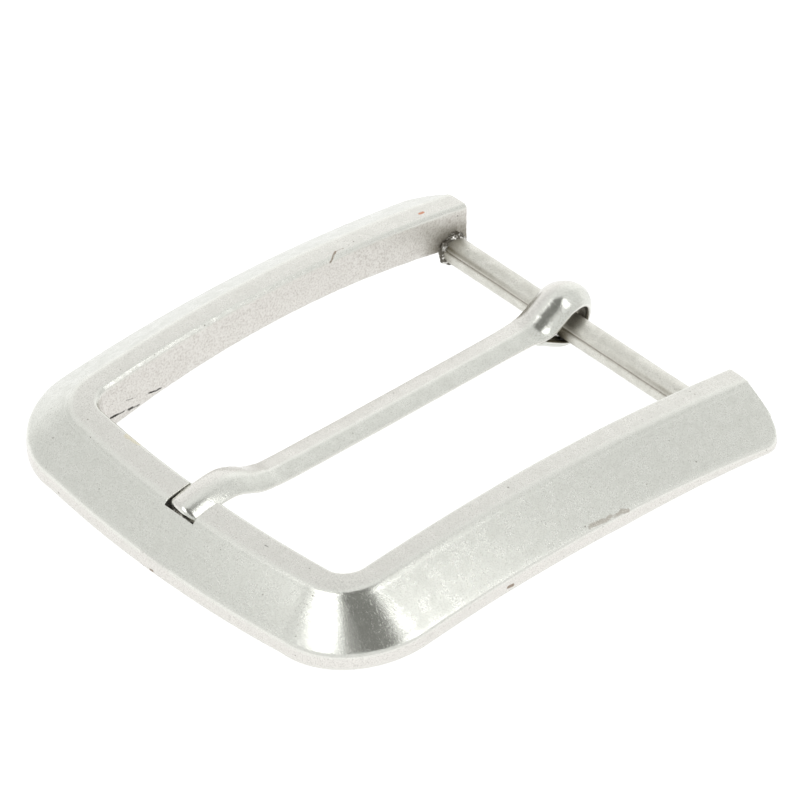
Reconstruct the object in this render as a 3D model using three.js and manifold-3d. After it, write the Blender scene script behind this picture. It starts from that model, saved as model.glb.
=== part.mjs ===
// A 40 mm strap buckle: an arched cast frame with three sides, a round heel bar
// brazed between the ends of its two arms, and a formed prong that swings on the bar.
// Millimetres, +Z up. The strap runs along Y, the heel bar lies along X at the +Y end
// and the prong points to -Y. The model stands on Z = 0 with its middle over the origin.
import * as THREE from 'three';
import { mergeVertices } from 'three/addons/utils/BufferGeometryUtils.js';
import Module from 'manifold-3d';

const wasm = await Module();
wasm.setup();

const GAP = 0.25;

// Frame, plan: three lines run round it, each with its own width, front and corner.
// half = half width at the middle, flare and bow = its change with y and y squared,
// front = y of the front side at x = 0, dish = its change with x squared.
const INNER_LINE = { half: 20.48, flare: -0.0061, bow: -0.0005, front: -26.2, dish: 0.0028, corner: 2.6 };
const RIDGE_LINE = { half: 23.36, flare: -0.0061, bow: -0.0005, front: -29.47, dish: 0.0037, corner: 5.2 };
const OUTER_LINE = { half: 29.25, flare: 0.0053, bow: 0, front: -33.37, dish: 0.0030, corner: 10.6 };
const HEEL_END = { left: 26.9, right: 28.0 };
const HEEL_CORNER = { left: 1.2, right: 2.8 };

// Frame, side view: the top is one long arch, and so is the underside along the inner
// wall, which runs out straight towards the front. The rim thins towards the heel.
const CROWN = { y: 4.19, radius: 176.3 };
const INNER_TOP = 5.37;
const RIDGE_TOP = 5.3;
const RIM_TOP = 1.2;
const RIM_HEIGHT = { front: 1.8, heel: 0.9, thinsFrom: 5, thinnestAt: 27 };
const SOLE = { y: 4.5, radius: 117, height: 0.65, straightBeyond: 24 };
const EDGE_BREAK = 0.4;

// Heel bar, its pockets in the arms and the braze rings.
const BAR = { y: 24.7, z: -0.88, radius: 1.55, halfLength: 21.8 };
const ARM_WALL = 20.0;
const POCKET_DEPTH = 2.3;
const BRAZE = { reach: 0.8, bead: 0.6 };
const BRAZE_BULGE = { radius: 0.75, reach: 0.55, crest: 0.25 };

// Prong: a strip whose top is a low roof along the shank and a dome on the eye and the
// tip, with bevelled lower edges. Its path is the line of its underside, from the end of
// the tail, round the bar, along the shank, up over the shoulder and down to the tip.
// Points are y, z.
const EYE = { radius: 2.3, lift: 0.5, half: 2.4 };
const TAIL = { y: 20.7, z: -0.8, half: 1.35, thinning: 0.5 };
const SHANK_RISE_ANGLE = THREE.MathUtils.degToRad(24);
const SHANK = [[20.6, -0.42], [19.2, -0.54], [12, -0.6], [2, -0.7], [-8, -0.76], [-16.2, -0.74]];
const SHOULDER = [[-18.4, -0.45], [-20.1, 0.1], [-21.6, 0.88], [-22.9, 1.4], [-24.2, 1.55]];
const TIP = [[-26.4, 1.32], [-28.5, 0.83], [-29.4, 0.55]];
const STRIP_HALF = 2.12;
const ROOF = { foot: 0.5, side: 0.95, eaves: 1.25, ridge: 1.6 };
const DOME = { foot: 0.75, side: 0.45, eaves: 0.8, ridge: 2.0 };
const TIP_HALF = 1.95;
const TIP_THINNING = 0.88;
const TIP_DOME = 0.5;
const NOSE = { length: 1.2, taper: 0.7 };

// The strip is rolled a little to its right at the eye and at the tip.
const ROLL = { eye: THREE.MathUtils.degToRad(10), tip: THREE.MathUtils.degToRad(8), height: 0.8 };

// Where the strip changes along its length: from the tail end up to the eye, and by
// distance in front of the model's middle near the tip.
const TAIL_THICKENS = { from: 6, to: 13 };
const EYE_WIDENS = { from: 7, to: 12.5 };
const EYE_SETTLES = { from: 14, to: 22 };
const EYE_FLATTENS = { from: 15, to: 19 };
const TIP_NARROWS = { from: 22, to: 26 };
const TIP_THINS = { from: 18, to: 24 };
const TIP_ROUNDS = { from: 17, to: 22 };
const PRONG_X_AT_BAR = -2.0;
const PRONG_X_AT_TIP = -0.35;

// Notch in the front side that the tip lies in; its floor falls with the arch.
const NOTCH = { x: -0.3, width: 4.4, mouthY: -25.2, backY: -29.9, floorZ: 0.9, floorY: -26.5, slope: 0.24 };

const FRAME_STEPS = { arm: 12, corner: 10, front: 12 };
const PRONG_STEPS = 72;
const ROUND_SEGMENTS = 32;

/** Height lost to the frame's top arch at y. */
function crownDrop(y) {
  return (y - CROWN.y) ** 2 / (2 * CROWN.radius);
}

/** Height of the frame's underside at y. */
function soleHeight(y) {
  const reach = Math.abs(y - SOLE.y);
  const curved = Math.min(reach, SOLE.straightBeyond);
  const straight = reach - curved;
  return SOLE.height - curved ** 2 / (2 * SOLE.radius) - straight * curved / SOLE.radius;
}

/** Height of the rim's outer face at y. */
function rimHeight(y) {
  const { front, heel, thinsFrom, thinnestAt } = RIM_HEIGHT;
  const along = (y - thinsFrom) / (thinnestAt - thinsFrom);
  return THREE.MathUtils.lerp(front, heel, THREE.MathUtils.clamp(along, 0, 1));
}

/** 0 to 1 as value goes through a range, with a smooth start and end. */
function ease(value, range) {
  return THREE.MathUtils.smoothstep(value, range.from, range.to);
}

function armHalfWidth(line, y) {
  return line.half + line.flare * y + line.bow * y * y;
}

function frontY(line, x) {
  return line.front + line.dish * x * x;
}

/** Point of a plan line at t = 0 (left heel end) to 1 (right heel end). */
function planPoint(line, t) {
  const heelEnd = t < 0.5 ? HEEL_END.left : HEEL_END.right;
  const { arm, corner, front } = FRAME_STEPS;
  const total = 2 * arm + 2 * corner + front;
  const side = t < 0.5 ? -1 : 1;
  const step = Math.min(t, 1 - t) * total;
  const r = line.corner;
  const cornerX = armHalfWidth(line, line.front + r) - r;
  const cornerY = frontY(line, cornerX) + r;
  if (step <= arm) {
    const y = THREE.MathUtils.lerp(heelEnd, cornerY, step / arm);
    return new THREE.Vector2(side * armHalfWidth(line, y), y);
  }
  if (step <= arm + corner) {
    const angle = (step - arm) / corner * Math.PI / 2;
    const startX = armHalfWidth(line, cornerY) - r;
    const centreX = THREE.MathUtils.lerp(startX, cornerX, angle / (Math.PI / 2));
    return new THREE.Vector2(side * (centreX + r * Math.cos(angle)), cornerY - r * Math.sin(angle));
  }
  const across = 1 - (step - arm - corner) / (front / 2);
  const x = side * cornerX * across;
  return new THREE.Vector2(x, frontY(line, x));
}

/** Place a section point: u = 0 inner, 1 ridge, 2 outer; v = 0 underside, 1 top. */
function framePoint(u, v, t) {
  const inner = planPoint(INNER_LINE, t);
  const ridge = planPoint(RIDGE_LINE, t);
  const outer = planPoint(OUTER_LINE, t);
  const plan = u <= 1 ? inner.lerp(ridge, u) : ridge.lerp(outer, u - 1);
  const face = u <= 1
    ? THREE.MathUtils.lerp(INNER_TOP, RIDGE_TOP, u)
    : THREE.MathUtils.lerp(RIDGE_TOP, RIM_TOP, u - 1);
  const drop = crownDrop(plan.y);
  const rimFoot = RIM_TOP - rimHeight(plan.y) - drop;
  const foot = THREE.MathUtils.lerp(soleHeight(plan.y), rimFoot, u / 2);
  return new THREE.Vector3(plan.x, plan.y, THREE.MathUtils.lerp(foot, face - drop, v));
}

/** Extrude a section one unit long in equal steps and move each point by place(x, y, z). */
function bendSection(points, steps, place) {
  const shape = new THREE.Shape(points.map(([x, y]) => new THREE.Vector2(x, y)));
  const geometry = new THREE.ExtrudeGeometry(shape, { depth: 1, steps, bevelEnabled: false });
  const position = geometry.getAttribute('position');
  for (let i = 0; i < position.count; i += 1) {
    const point = place(position.getX(i), position.getY(i), position.getZ(i));
    position.setXYZ(i, point.x, point.y, point.z);
  }
  return closed(geometry);
}

/** Keep only positions and merge the shared corners. */
function closed(geometry) {
  geometry.deleteAttribute('normal');
  geometry.deleteAttribute('uv');
  return mergeVertices(geometry, 1e-5);
}

function toSolid(geometry) {
  return new wasm.Manifold(new wasm.Mesh({
    numProp: 3,
    vertProperties: new Float32Array(geometry.getAttribute('position').array),
    triVerts: new Uint32Array(geometry.getIndex().array),
  }));
}

function fromSolid(solid) {
  const mesh = solid.getMesh();
  const geometry = new THREE.BufferGeometry();
  geometry.setAttribute('position', new THREE.BufferAttribute(mesh.vertProperties, 3));
  geometry.setIndex(new THREE.BufferAttribute(mesh.triVerts, 1));
  return geometry;
}

/** A cylinder along X from x0 to x1, centred on the heel bar's axis. */
function barCylinder(radius, x0, x1) {
  const geometry = new THREE.CylinderGeometry(radius, radius, x1 - x0, ROUND_SEGMENTS);
  geometry.rotateZ(Math.PI / 2);
  geometry.translate((x0 + x1) / 2, BAR.y, BAR.z);
  return closed(geometry);
}

/** The waste outside one rounded outer corner of an arm's heel end. */
function heelCornerWaste(side) {
  const end = side < 0 ? HEEL_END.left : HEEL_END.right;
  const radius = side < 0 ? HEEL_CORNER.left : HEEL_CORNER.right;
  const outer = armHalfWidth(OUTER_LINE, end);
  const margin = 2;
  const shape = new THREE.Shape();
  shape.moveTo(outer - radius, end);
  shape.absarc(outer - radius, end - radius, radius, Math.PI / 2, 0, true);
  shape.lineTo(outer + margin, end - radius);
  shape.lineTo(outer + margin, end + margin);
  shape.lineTo(outer - radius, end + margin);
  const depth = 20;
  const geometry = new THREE.ExtrudeGeometry(shape, { depth, bevelEnabled: false, curveSegments: 8 });
  geometry.translate(0, 0, -depth / 2);
  if (side < 0) geometry.rotateY(Math.PI);
  return closed(geometry);
}

/** The block that cuts the tip's notch, its floor sloping with the front side. */
function notchBlock() {
  const length = NOTCH.mouthY - NOTCH.backY;
  const height = 6;
  const geometry = new THREE.BoxGeometry(NOTCH.width, length, height);
  const middleY = (NOTCH.mouthY + NOTCH.backY) / 2;
  geometry.translate(NOTCH.x, middleY, height / 2);
  const position = geometry.getAttribute('position');
  for (let i = 0; i < position.count; i += 1) {
    const floor = NOTCH.floorZ + NOTCH.slope * (position.getY(i) - NOTCH.floorY);
    position.setZ(i, position.getZ(i) + floor);
  }
  return closed(geometry);
}

/** The cast frame: section bent round the plan lines, then notched and pocketed. */
function frameGeometry() {
  const wallHeight = INNER_TOP - SOLE.height;
  const section = [
    [0, 0],
    [2, 0],
    [2, 1],
    [1, 1],
    [EDGE_BREAK / (RIDGE_LINE.half - INNER_LINE.half), 1],
    [0, 1 - EDGE_BREAK / wallHeight],
  ];
  const steps = 2 * FRAME_STEPS.arm + 2 * FRAME_STEPS.corner + FRAME_STEPS.front;
  let solid = toSolid(bendSection(section, steps, (u, v, t) => framePoint(u, v, 1 - t)));
  for (const side of [-1, 1]) {
    const wall = side * (ARM_WALL - POCKET_DEPTH);
    const end = side * (ARM_WALL + POCKET_DEPTH);
    const pocket = barCylinder(BAR.radius + GAP, Math.min(wall, end), Math.max(wall, end));
    solid = solid.subtract(toSolid(pocket)).subtract(toSolid(heelCornerWaste(side)));
  }
  return fromSolid(solid.subtract(toSolid(notchBlock())));
}

/** A ring of braze metal that stands off an arm's wall round the bar. */
function brazeGeometry() {
  const inner = BAR.radius + GAP;
  const { reach, bead } = BRAZE;
  const profile = [
    new THREE.Vector2(inner, 0),
    new THREE.Vector2(inner + bead, 0),
    new THREE.Vector2(inner + bead * BRAZE_BULGE.radius, reach * BRAZE_BULGE.reach),
    new THREE.Vector2(inner + bead * BRAZE_BULGE.crest, reach),
    new THREE.Vector2(inner, reach),
    new THREE.Vector2(inner, 0),
  ];
  return closed(new THREE.LatheGeometry(profile, ROUND_SEGMENTS));
}

/** The prong's underside as a curve in the YZ plane, with x unused. */
function prongPath() {
  const centre = new THREE.Vector2(BAR.y, BAR.z + EYE.lift);
  const tail = new THREE.Vector2(TAIL.y, TAIL.z);
  const toTail = tail.clone().sub(centre);
  const contact = toTail.angle() + Math.acos(EYE.radius / toTail.length());
  const leave = 2 * Math.PI + Math.PI / 2 + SHANK_RISE_ANGLE;
  const arc = new THREE.EllipseCurve(centre.x, centre.y, EYE.radius, EYE.radius, contact, leave, false);
  const shankPoints = [...SHANK, ...SHOULDER, ...TIP].map(([y, z]) => new THREE.Vector2(y, z));
  const path = new THREE.CurvePath();
  path.add(new THREE.LineCurve(tail, arc.getPoint(0)));
  path.add(arc);
  path.add(new THREE.SplineCurve([arc.getPoint(1), ...shankPoints]));
  return path;
}

/** Half width of the strip at s millimetres from the tail end. */
function stripHalfWidth(s, length, y) {
  const eye = THREE.MathUtils.lerp(TAIL.half, EYE.half, ease(s, EYE_WIDENS));
  const strip = THREE.MathUtils.lerp(eye, STRIP_HALF, ease(s, EYE_SETTLES));
  const half = THREE.MathUtils.lerp(strip, TIP_HALF, ease(-y, TIP_NARROWS));
  const intoNose = Math.max(0, 1 - (length - s) / NOSE.length);
  return half * Math.sqrt(1 - NOSE.taper * intoNose ** 3);
}

/**
 * A section point in half widths and millimetres. level = 0 is the underside, 1 the foot
 * of the side and 2 or more the top; dome = 0 is the roof and 1 the dome.
 */
function stripPoint(across, level, dome) {
  if (level === 0) {
    return new THREE.Vector2(across * THREE.MathUtils.lerp(ROOF.foot, DOME.foot, dome), 0);
  }
  if (level === 1) {
    return new THREE.Vector2(across, THREE.MathUtils.lerp(ROOF.side, DOME.side, dome));
  }
  const roof = THREE.MathUtils.lerp(ROOF.ridge, ROOF.eaves, Math.abs(across));
  const domed = THREE.MathUtils.lerp(DOME.ridge, DOME.eaves, across * across);
  return new THREE.Vector2(across, THREE.MathUtils.lerp(roof, domed, dome));
}

/** The prong: its section carried along its underside path. */
function prongGeometry() {
  const path = prongPath();
  const length = path.getLength();
  path.arcLengthDivisions = 2000;
  path.updateArcLengths();
  const section = [[-1, 0], [1, 0], [1.5, 1], [1, 2], [0.55, 2.1], [0, 2.2], [-0.55, 2.1], [-1, 2], [-1.5, 1]];
  const perMillimetre = (PRONG_X_AT_TIP - PRONG_X_AT_BAR) / (TIP.at(-1)[0] - BAR.y);
  const pivot = new THREE.Vector2(0, ROLL.height);
  return bendSection(section, PRONG_STEPS, (across, level, t) => {
    const point = path.getPointAt(t);
    const tangent = path.getTangentAt(t);
    const s = t * length;
    const atEye = 1 - ease(s, EYE_FLATTENS);
    const atTip = ease(-point.x, TIP_ROUNDS);
    const tail = THREE.MathUtils.lerp(TAIL.thinning, 1, ease(s, TAIL_THICKENS));
    const tip = THREE.MathUtils.lerp(1, TIP_THINNING, ease(-point.x, TIP_THINS));
    const place = stripPoint(THREE.MathUtils.clamp(across, -1, 1), level, Math.max(atEye, TIP_DOME * atTip));
    place.x *= stripHalfWidth(s, length, point.x);
    place.y *= tail * tip;
    place.rotateAround(pivot, -ROLL.eye * atEye - ROLL.tip * atTip);
    const y = point.x + tangent.y * place.y;
    const z = point.y - tangent.x * place.y;
    const centre = PRONG_X_AT_BAR + perMillimetre * (y - BAR.y);
    return new THREE.Vector3(centre + place.x, y, z);
  });
}

function part(name, geometry, color, roughness, metalness) {
  const mesh = new THREE.Mesh(geometry, new THREE.MeshStandardMaterial({ color, roughness, metalness }));
  mesh.name = name;
  return mesh;
}

/** A braze ring turned to lie against the arm on one side. */
function brazeRing(name, side) {
  const mesh = part(name, brazeGeometry(), 0x8f8c86, 0.6, 0.9);
  mesh.position.set(side * (ARM_WALL - GAP), BAR.y, BAR.z);
  mesh.rotation.z = side * Math.PI / 2;
  return mesh;
}

const buckle = new THREE.Group();
buckle.add(part('frame', frameGeometry(), 0xcfcec7, 0.42, 0.95));
buckle.add(part('heel_bar', barCylinder(BAR.radius, -BAR.halfLength, BAR.halfLength), 0xc9c6b6, 0.35, 0.95));
buckle.add(part('prong', prongGeometry(), 0xcbcbc5, 0.38, 0.95));
buckle.add(brazeRing('braze_left', -1));
buckle.add(brazeRing('braze_right', 1));

// Stand the buckle on Z = 0 with the middle of its box over the origin.
const box = new THREE.Box3().setFromObject(buckle);
const middle = box.getCenter(new THREE.Vector3());
buckle.position.set(-middle.x, -middle.y, -box.min.z);

const assembly = new THREE.Group();
assembly.add(buckle);

export default assembly;
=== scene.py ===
"""A worn nickel strap buckle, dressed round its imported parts.

The buckle is an arched cast frame with three sides, a round heel bar brazed between
the ends of its arms, and a formed prong that swings on the bar. Sizes are in
millimetres on the maker's drawing, whose origin lies between the arms: X runs across
the strap, Y along it with the heel bar at the +Y end, and Z is up.
"""

import logging
import math
from dataclasses import dataclass, field
from enum import Enum, IntEnum
from typing import Callable, Optional, Sequence, Union

import bmesh
import bpy
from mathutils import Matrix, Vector, noise


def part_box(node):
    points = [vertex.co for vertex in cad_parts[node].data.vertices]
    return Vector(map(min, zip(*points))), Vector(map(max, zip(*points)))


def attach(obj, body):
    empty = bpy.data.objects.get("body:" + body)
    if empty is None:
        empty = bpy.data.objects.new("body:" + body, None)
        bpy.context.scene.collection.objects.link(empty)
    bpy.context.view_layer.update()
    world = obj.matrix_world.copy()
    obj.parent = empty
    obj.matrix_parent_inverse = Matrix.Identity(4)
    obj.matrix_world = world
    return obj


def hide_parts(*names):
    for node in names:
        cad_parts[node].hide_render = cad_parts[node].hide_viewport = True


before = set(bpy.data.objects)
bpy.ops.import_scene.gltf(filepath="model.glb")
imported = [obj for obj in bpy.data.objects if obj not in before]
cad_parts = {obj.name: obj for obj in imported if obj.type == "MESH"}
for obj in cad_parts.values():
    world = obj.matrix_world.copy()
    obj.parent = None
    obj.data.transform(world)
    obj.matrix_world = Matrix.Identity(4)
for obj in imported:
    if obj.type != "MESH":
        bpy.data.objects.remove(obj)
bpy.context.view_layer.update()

MM = 0.001
TINY = 1e-6
LONGEST_FILLET = 0.45
Colour = tuple[float, float, float]
Ring = list[Vector]
Socket = bpy.types.NodeSocket
Feed = Union[Socket, float, Sequence[float]]
Band = tuple[float, float]

log = logging.getLogger("buckle")


def lerp(a: float, b: float, share: float) -> float:
    """The value a share of the way from a to b."""
    return a + (b - a) * share


def ease(value: float, start: float, end: float) -> float:
    """0 to 1 as value goes from start to end, with a smooth start and end."""
    share = min(1.0, max(0.0, (value - start) / (end - start)))
    return share * share * (3 - 2 * share)


class Side(Enum):
    """The two arms of the frame."""

    LEFT = -1
    RIGHT = 1


class Stretch(Enum):
    """The stretches of half the frame, from the heel to the middle of the front."""

    ARM = "arm"
    CORNER = "corner"
    FRONT = "front"


class WearAndLight(Enum):
    """Point attributes of wear and of painted light and shade that a finish reads, each from 0 to 1."""

    EDGE = "edge_polish"
    # Painted light: a lighter, warmer tone on the facets that face the light, inside the notch and on
    # the bar's seam.
    LIT_TONE = "lit_warm_tone"
    CAST = "raw_cast"
    # Painted shade: darkening round the heel bar's ends, in and beside its seam, and under and inside
    # the prong's eye.
    PAINTED_SHADE = "painted_shade_mark"
    SHINE = "shine"


Marks = dict[WearAndLight, list[float]]


class FrameEdge(IntEnum):
    """The corners of the frame's section, from the foot of its inner wall round."""

    FOOT = 0
    WALL = 1
    BREAK = 2
    RIDGE = 3
    SLOPE = 4
    RIM = 5
    RIM_FOOT = 6


class StripEdge(IntEnum):
    """The corners of the prong's section that its shape changes."""

    BELLY = 0
    EAVES = 3
    RIDGE = 4
    FAR_EAVES = 5


@dataclass(frozen=True)
class Drawing:
    """Where the maker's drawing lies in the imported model.

    Attributes:
        origin: The drawing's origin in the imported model, in millimetres.
    """

    origin: Vector

    @classmethod
    def from_bar(cls, node: str, bar_centre: Vector) -> "Drawing":
        """Place the drawing by the heel bar.

        Args:
            node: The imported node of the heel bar.
            bar_centre: The bar's middle on the drawing, in millimetres.

        Returns:
            The drawing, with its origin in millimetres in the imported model.
        """
        low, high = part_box(node)
        return cls((low + high) / (2 * MM) - bar_centre)

    def place(self, point: Vector) -> Vector:
        """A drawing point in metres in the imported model."""
        return (point + self.origin) * MM


@dataclass(frozen=True)
class PlanLine:
    """One line of the frame's plan: two arms, two corners and the front side.

    Attributes:
        half: Half width between the arms at y = 0.
        flare: How much that grows for each millimetre of y.
        bow: How much it grows with the square of y.
        front: Y of the front side's middle.
        dish: How much the front side bows back with the square of x.
        corner: Radius of the corners.
    """

    half: float
    flare: float
    bow: float
    front: float
    dish: float
    corner: float

    def arm_half(self, y: float) -> float:
        """Half width between the two arms' lines at y."""
        return self.half + self.flare * y + self.bow * y * y

    def front_y(self, x: float) -> float:
        """Y of the front side's line at x."""
        return self.front + self.dish * x * x

    def corner_x(self) -> float:
        """X where the front side ends and the corner starts."""
        return self.arm_half(self.front + self.corner) - self.corner

    def corner_y(self) -> float:
        """Y where the arm ends and the corner starts."""
        return self.front_y(self.corner_x()) + self.corner

    def point(self, stretch: Stretch, side: Side, share: float, heel: float) -> Vector:
        """A point of the line.

        Args:
            stretch: Which stretch of the half frame.
            side: Which arm's half.
            share: 0 at the stretch's heel side, 1 at its far end.
            heel: Y of the arm's heel end.

        Returns:
            The point, with z at 0.
        """
        if stretch is Stretch.ARM:
            y = lerp(heel, self.corner_y(), share)
            return Vector((side.value * self.arm_half(y), y, 0))
        if stretch is Stretch.CORNER:
            angle = share * math.pi / 2
            start = self.arm_half(self.corner_y()) - self.corner
            centre = lerp(start, self.corner_x(), share)
            x = centre + self.corner * math.cos(angle)
            y = self.corner_y() - self.corner * math.sin(angle)
            return Vector((side.value * x, y, 0))
        x = side.value * self.corner_x() * (1 - share)
        return Vector((x, self.front_y(x), 0))


@dataclass(frozen=True)
class Facet:
    """A corner of a section, rounded off, and the facet that follows it.

    Attributes:
        fillet: How far from the corner the rounding starts, in millimetres.
        rows: Rows of faces on the facet.
        bulge: How far the facet's middle stands out, in millimetres.
        warm_lit: How much the facet takes the lighter, warmer tone that is painted where light falls.
        cast: How much the facet keeps its raw cast skin.
    """

    fillet: float
    rows: int
    bulge: float = 0.0
    warm_lit: float = 0.0
    cast: float = 0.0


@dataclass(frozen=True)
class Section:
    """A closed section of rounded corners and slightly crowned facets.

    Attributes:
        facets: Its corners and facets, in order round it.
        fillet_steps: Points on each rounded corner.
    """

    facets: tuple[Facet, ...]
    fillet_steps: int = 4

    def ring(
        self, corners: Sequence[Vector], fillets: Sequence[float], bulges: Sequence[float], along: Vector
    ) -> Ring:
        """Points of the rounded section.

        Args:
            corners: The sharp corners, in order round the section.
            fillets: The rounding of each corner.
            bulges: The bulge of each facet.
            along: The direction the section is carried in, at this place.

        Returns:
            The points, the same number for every section of this kind.
        """
        count = len(corners)
        middle = sum(corners, Vector()) / count
        points: Ring = []
        for i, facet in enumerate(self.facets):
            here, ahead, behind = corners[i], corners[(i + 1) % count], corners[i - 1]
            follows = (i + 1) % count
            start = self._set_back(here, behind, fillets[i])
            end = self._set_back(here, ahead, fillets[i])
            for k in range(self.fillet_steps):
                s = k / self.fillet_steps
                points.append(start * (1 - s) ** 2 + here * (2 * s * (1 - s)) + end * s * s)
            far = self._set_back(ahead, here, fillets[follows])
            outward = (ahead - here).cross(along).normalized()
            if outward.dot((here + ahead) / 2 - middle) < 0:
                outward = -outward
            for k in range(facet.rows):
                s = k / facet.rows
                swell = 4 * s * (1 - s) * bulges[i]
                points.append(end.lerp(far, s) + outward * swell)
        return points

    @staticmethod
    def _set_back(corner: Vector, towards: Vector, fillet: float) -> Vector:
        """The point a fillet's length from a corner, or less where the next is close."""
        reach = (towards - corner).length
        return corner.lerp(towards, min(LONGEST_FILLET, fillet / max(reach, TINY)))

    def span(self, first: int, last: int) -> tuple[int, int]:
        """The ring's points from the end of one corner to the start of another."""
        sizes = [self.fillet_steps + facet.rows for facet in self.facets]
        return sum(sizes[:first]) + self.fillet_steps, sum(sizes[:last])

    def marks(self) -> Marks:
        """The marks of wear and painted light of each point of the ring."""
        marks: Marks = {WearAndLight.EDGE: [], WearAndLight.LIT_TONE: [], WearAndLight.CAST: []}
        for i, facet in enumerate(self.facets):
            before = self.facets[i - 1]
            for k in range(self.fillet_steps):
                s = k / self.fillet_steps
                polish = math.sin(math.pi * (k + 0.5) / (self.fillet_steps + 0.5))
                marks[WearAndLight.EDGE].append(polish)
                marks[WearAndLight.LIT_TONE].append(lerp(before.warm_lit, facet.warm_lit, s))
                marks[WearAndLight.CAST].append(lerp(before.cast, facet.cast, s))
            for _ in range(facet.rows):
                marks[WearAndLight.EDGE].append(0.0)
                marks[WearAndLight.LIT_TONE].append(facet.warm_lit)
                marks[WearAndLight.CAST].append(facet.cast)
        return marks


class SweptMesh:
    """A mesh of rings joined in order, with its two ends closed."""

    def __init__(self, name: str, drawing: Drawing) -> None:
        """Start an empty mesh.

        Args:
            name: The piece's name.
            drawing: Where the drawing lies.
        """
        self.name = name
        self.drawing = drawing
        self.rings: list[Ring] = []
        self.wear_and_light: list[Marks] = []

    def add(self, ring: Ring, marks: Optional[Marks] = None) -> None:
        """Append a ring, with the marks of wear and painted light and shade of its points."""
        self.rings.append(ring)
        self.wear_and_light.append(marks or {})

    def build(self, shape: Callable[[Vector, Vector], float], looped: bool = False) -> bpy.types.Object:
        """Make the object.

        Args:
            shape: Takes a drawing point and its normal; gives a height to move it by,
                in millimetres.
            looped: Whether the last ring joins the first.

        Returns:
            The finished object, in the scene.
        """
        size = len(self.rings[0])
        count = len(self.rings)
        points = [p for ring in self.rings for p in ring]
        faces = []
        for k in range(count if looped else count - 1):
            ahead = (k + 1) % count
            for i in range(size):
                j = (i + 1) % size
                faces.append((k * size + i, k * size + j, ahead * size + j, ahead * size + i))
        if not looped:
            faces.append(tuple(range(size)))
            faces.append(tuple(reversed(range((count - 1) * size, count * size))))
        mesh = bpy.data.meshes.new(self.name)
        mesh.from_pydata(points, [], faces)
        self._face_outward(mesh)
        normals = [v.normal.copy() for v in mesh.vertices]
        for vertex, normal in zip(mesh.vertices, normals):
            height = shape(vertex.co, normal)
            vertex.co = self.drawing.place(vertex.co + normal * height)
        for wear_and_light in WearAndLight:
            if wear_and_light in self.wear_and_light[0]:
                values = [value for marks in self.wear_and_light for value in marks[wear_and_light]]
                layer = mesh.attributes.new(wear_and_light.value, "FLOAT", "POINT")
                layer.data.foreach_set("value", values)
        mesh.shade_smooth()
        piece = bpy.data.objects.new(self.name, mesh)
        bpy.context.scene.collection.objects.link(piece)
        return piece

    @staticmethod
    def _face_outward(mesh: bpy.types.Mesh) -> None:
        """Turn every face of a closed mesh outward.

        Args:
            mesh: The mesh.
        """
        work = bmesh.new()
        work.from_mesh(mesh)
        bmesh.ops.recalc_face_normals(work, faces=work.faces)
        work.to_mesh(mesh)
        work.free()
        mesh.update()


@dataclass(frozen=True)
class Ripple:
    """The slight unevenness that tumbling leaves on a casting.

    Attributes:
        height: Its height, in millimetres.
        grain: Its cells to the millimetre.
        seed: Where in the noise it starts.
    """

    height: float
    grain: float
    seed: Vector = Vector((0, 0, 0))

    def at(self, point: Vector) -> float:
        """Height of the ripple at a drawing point, in millimetres."""
        return self.height * noise.noise(point * self.grain + self.seed)


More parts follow.
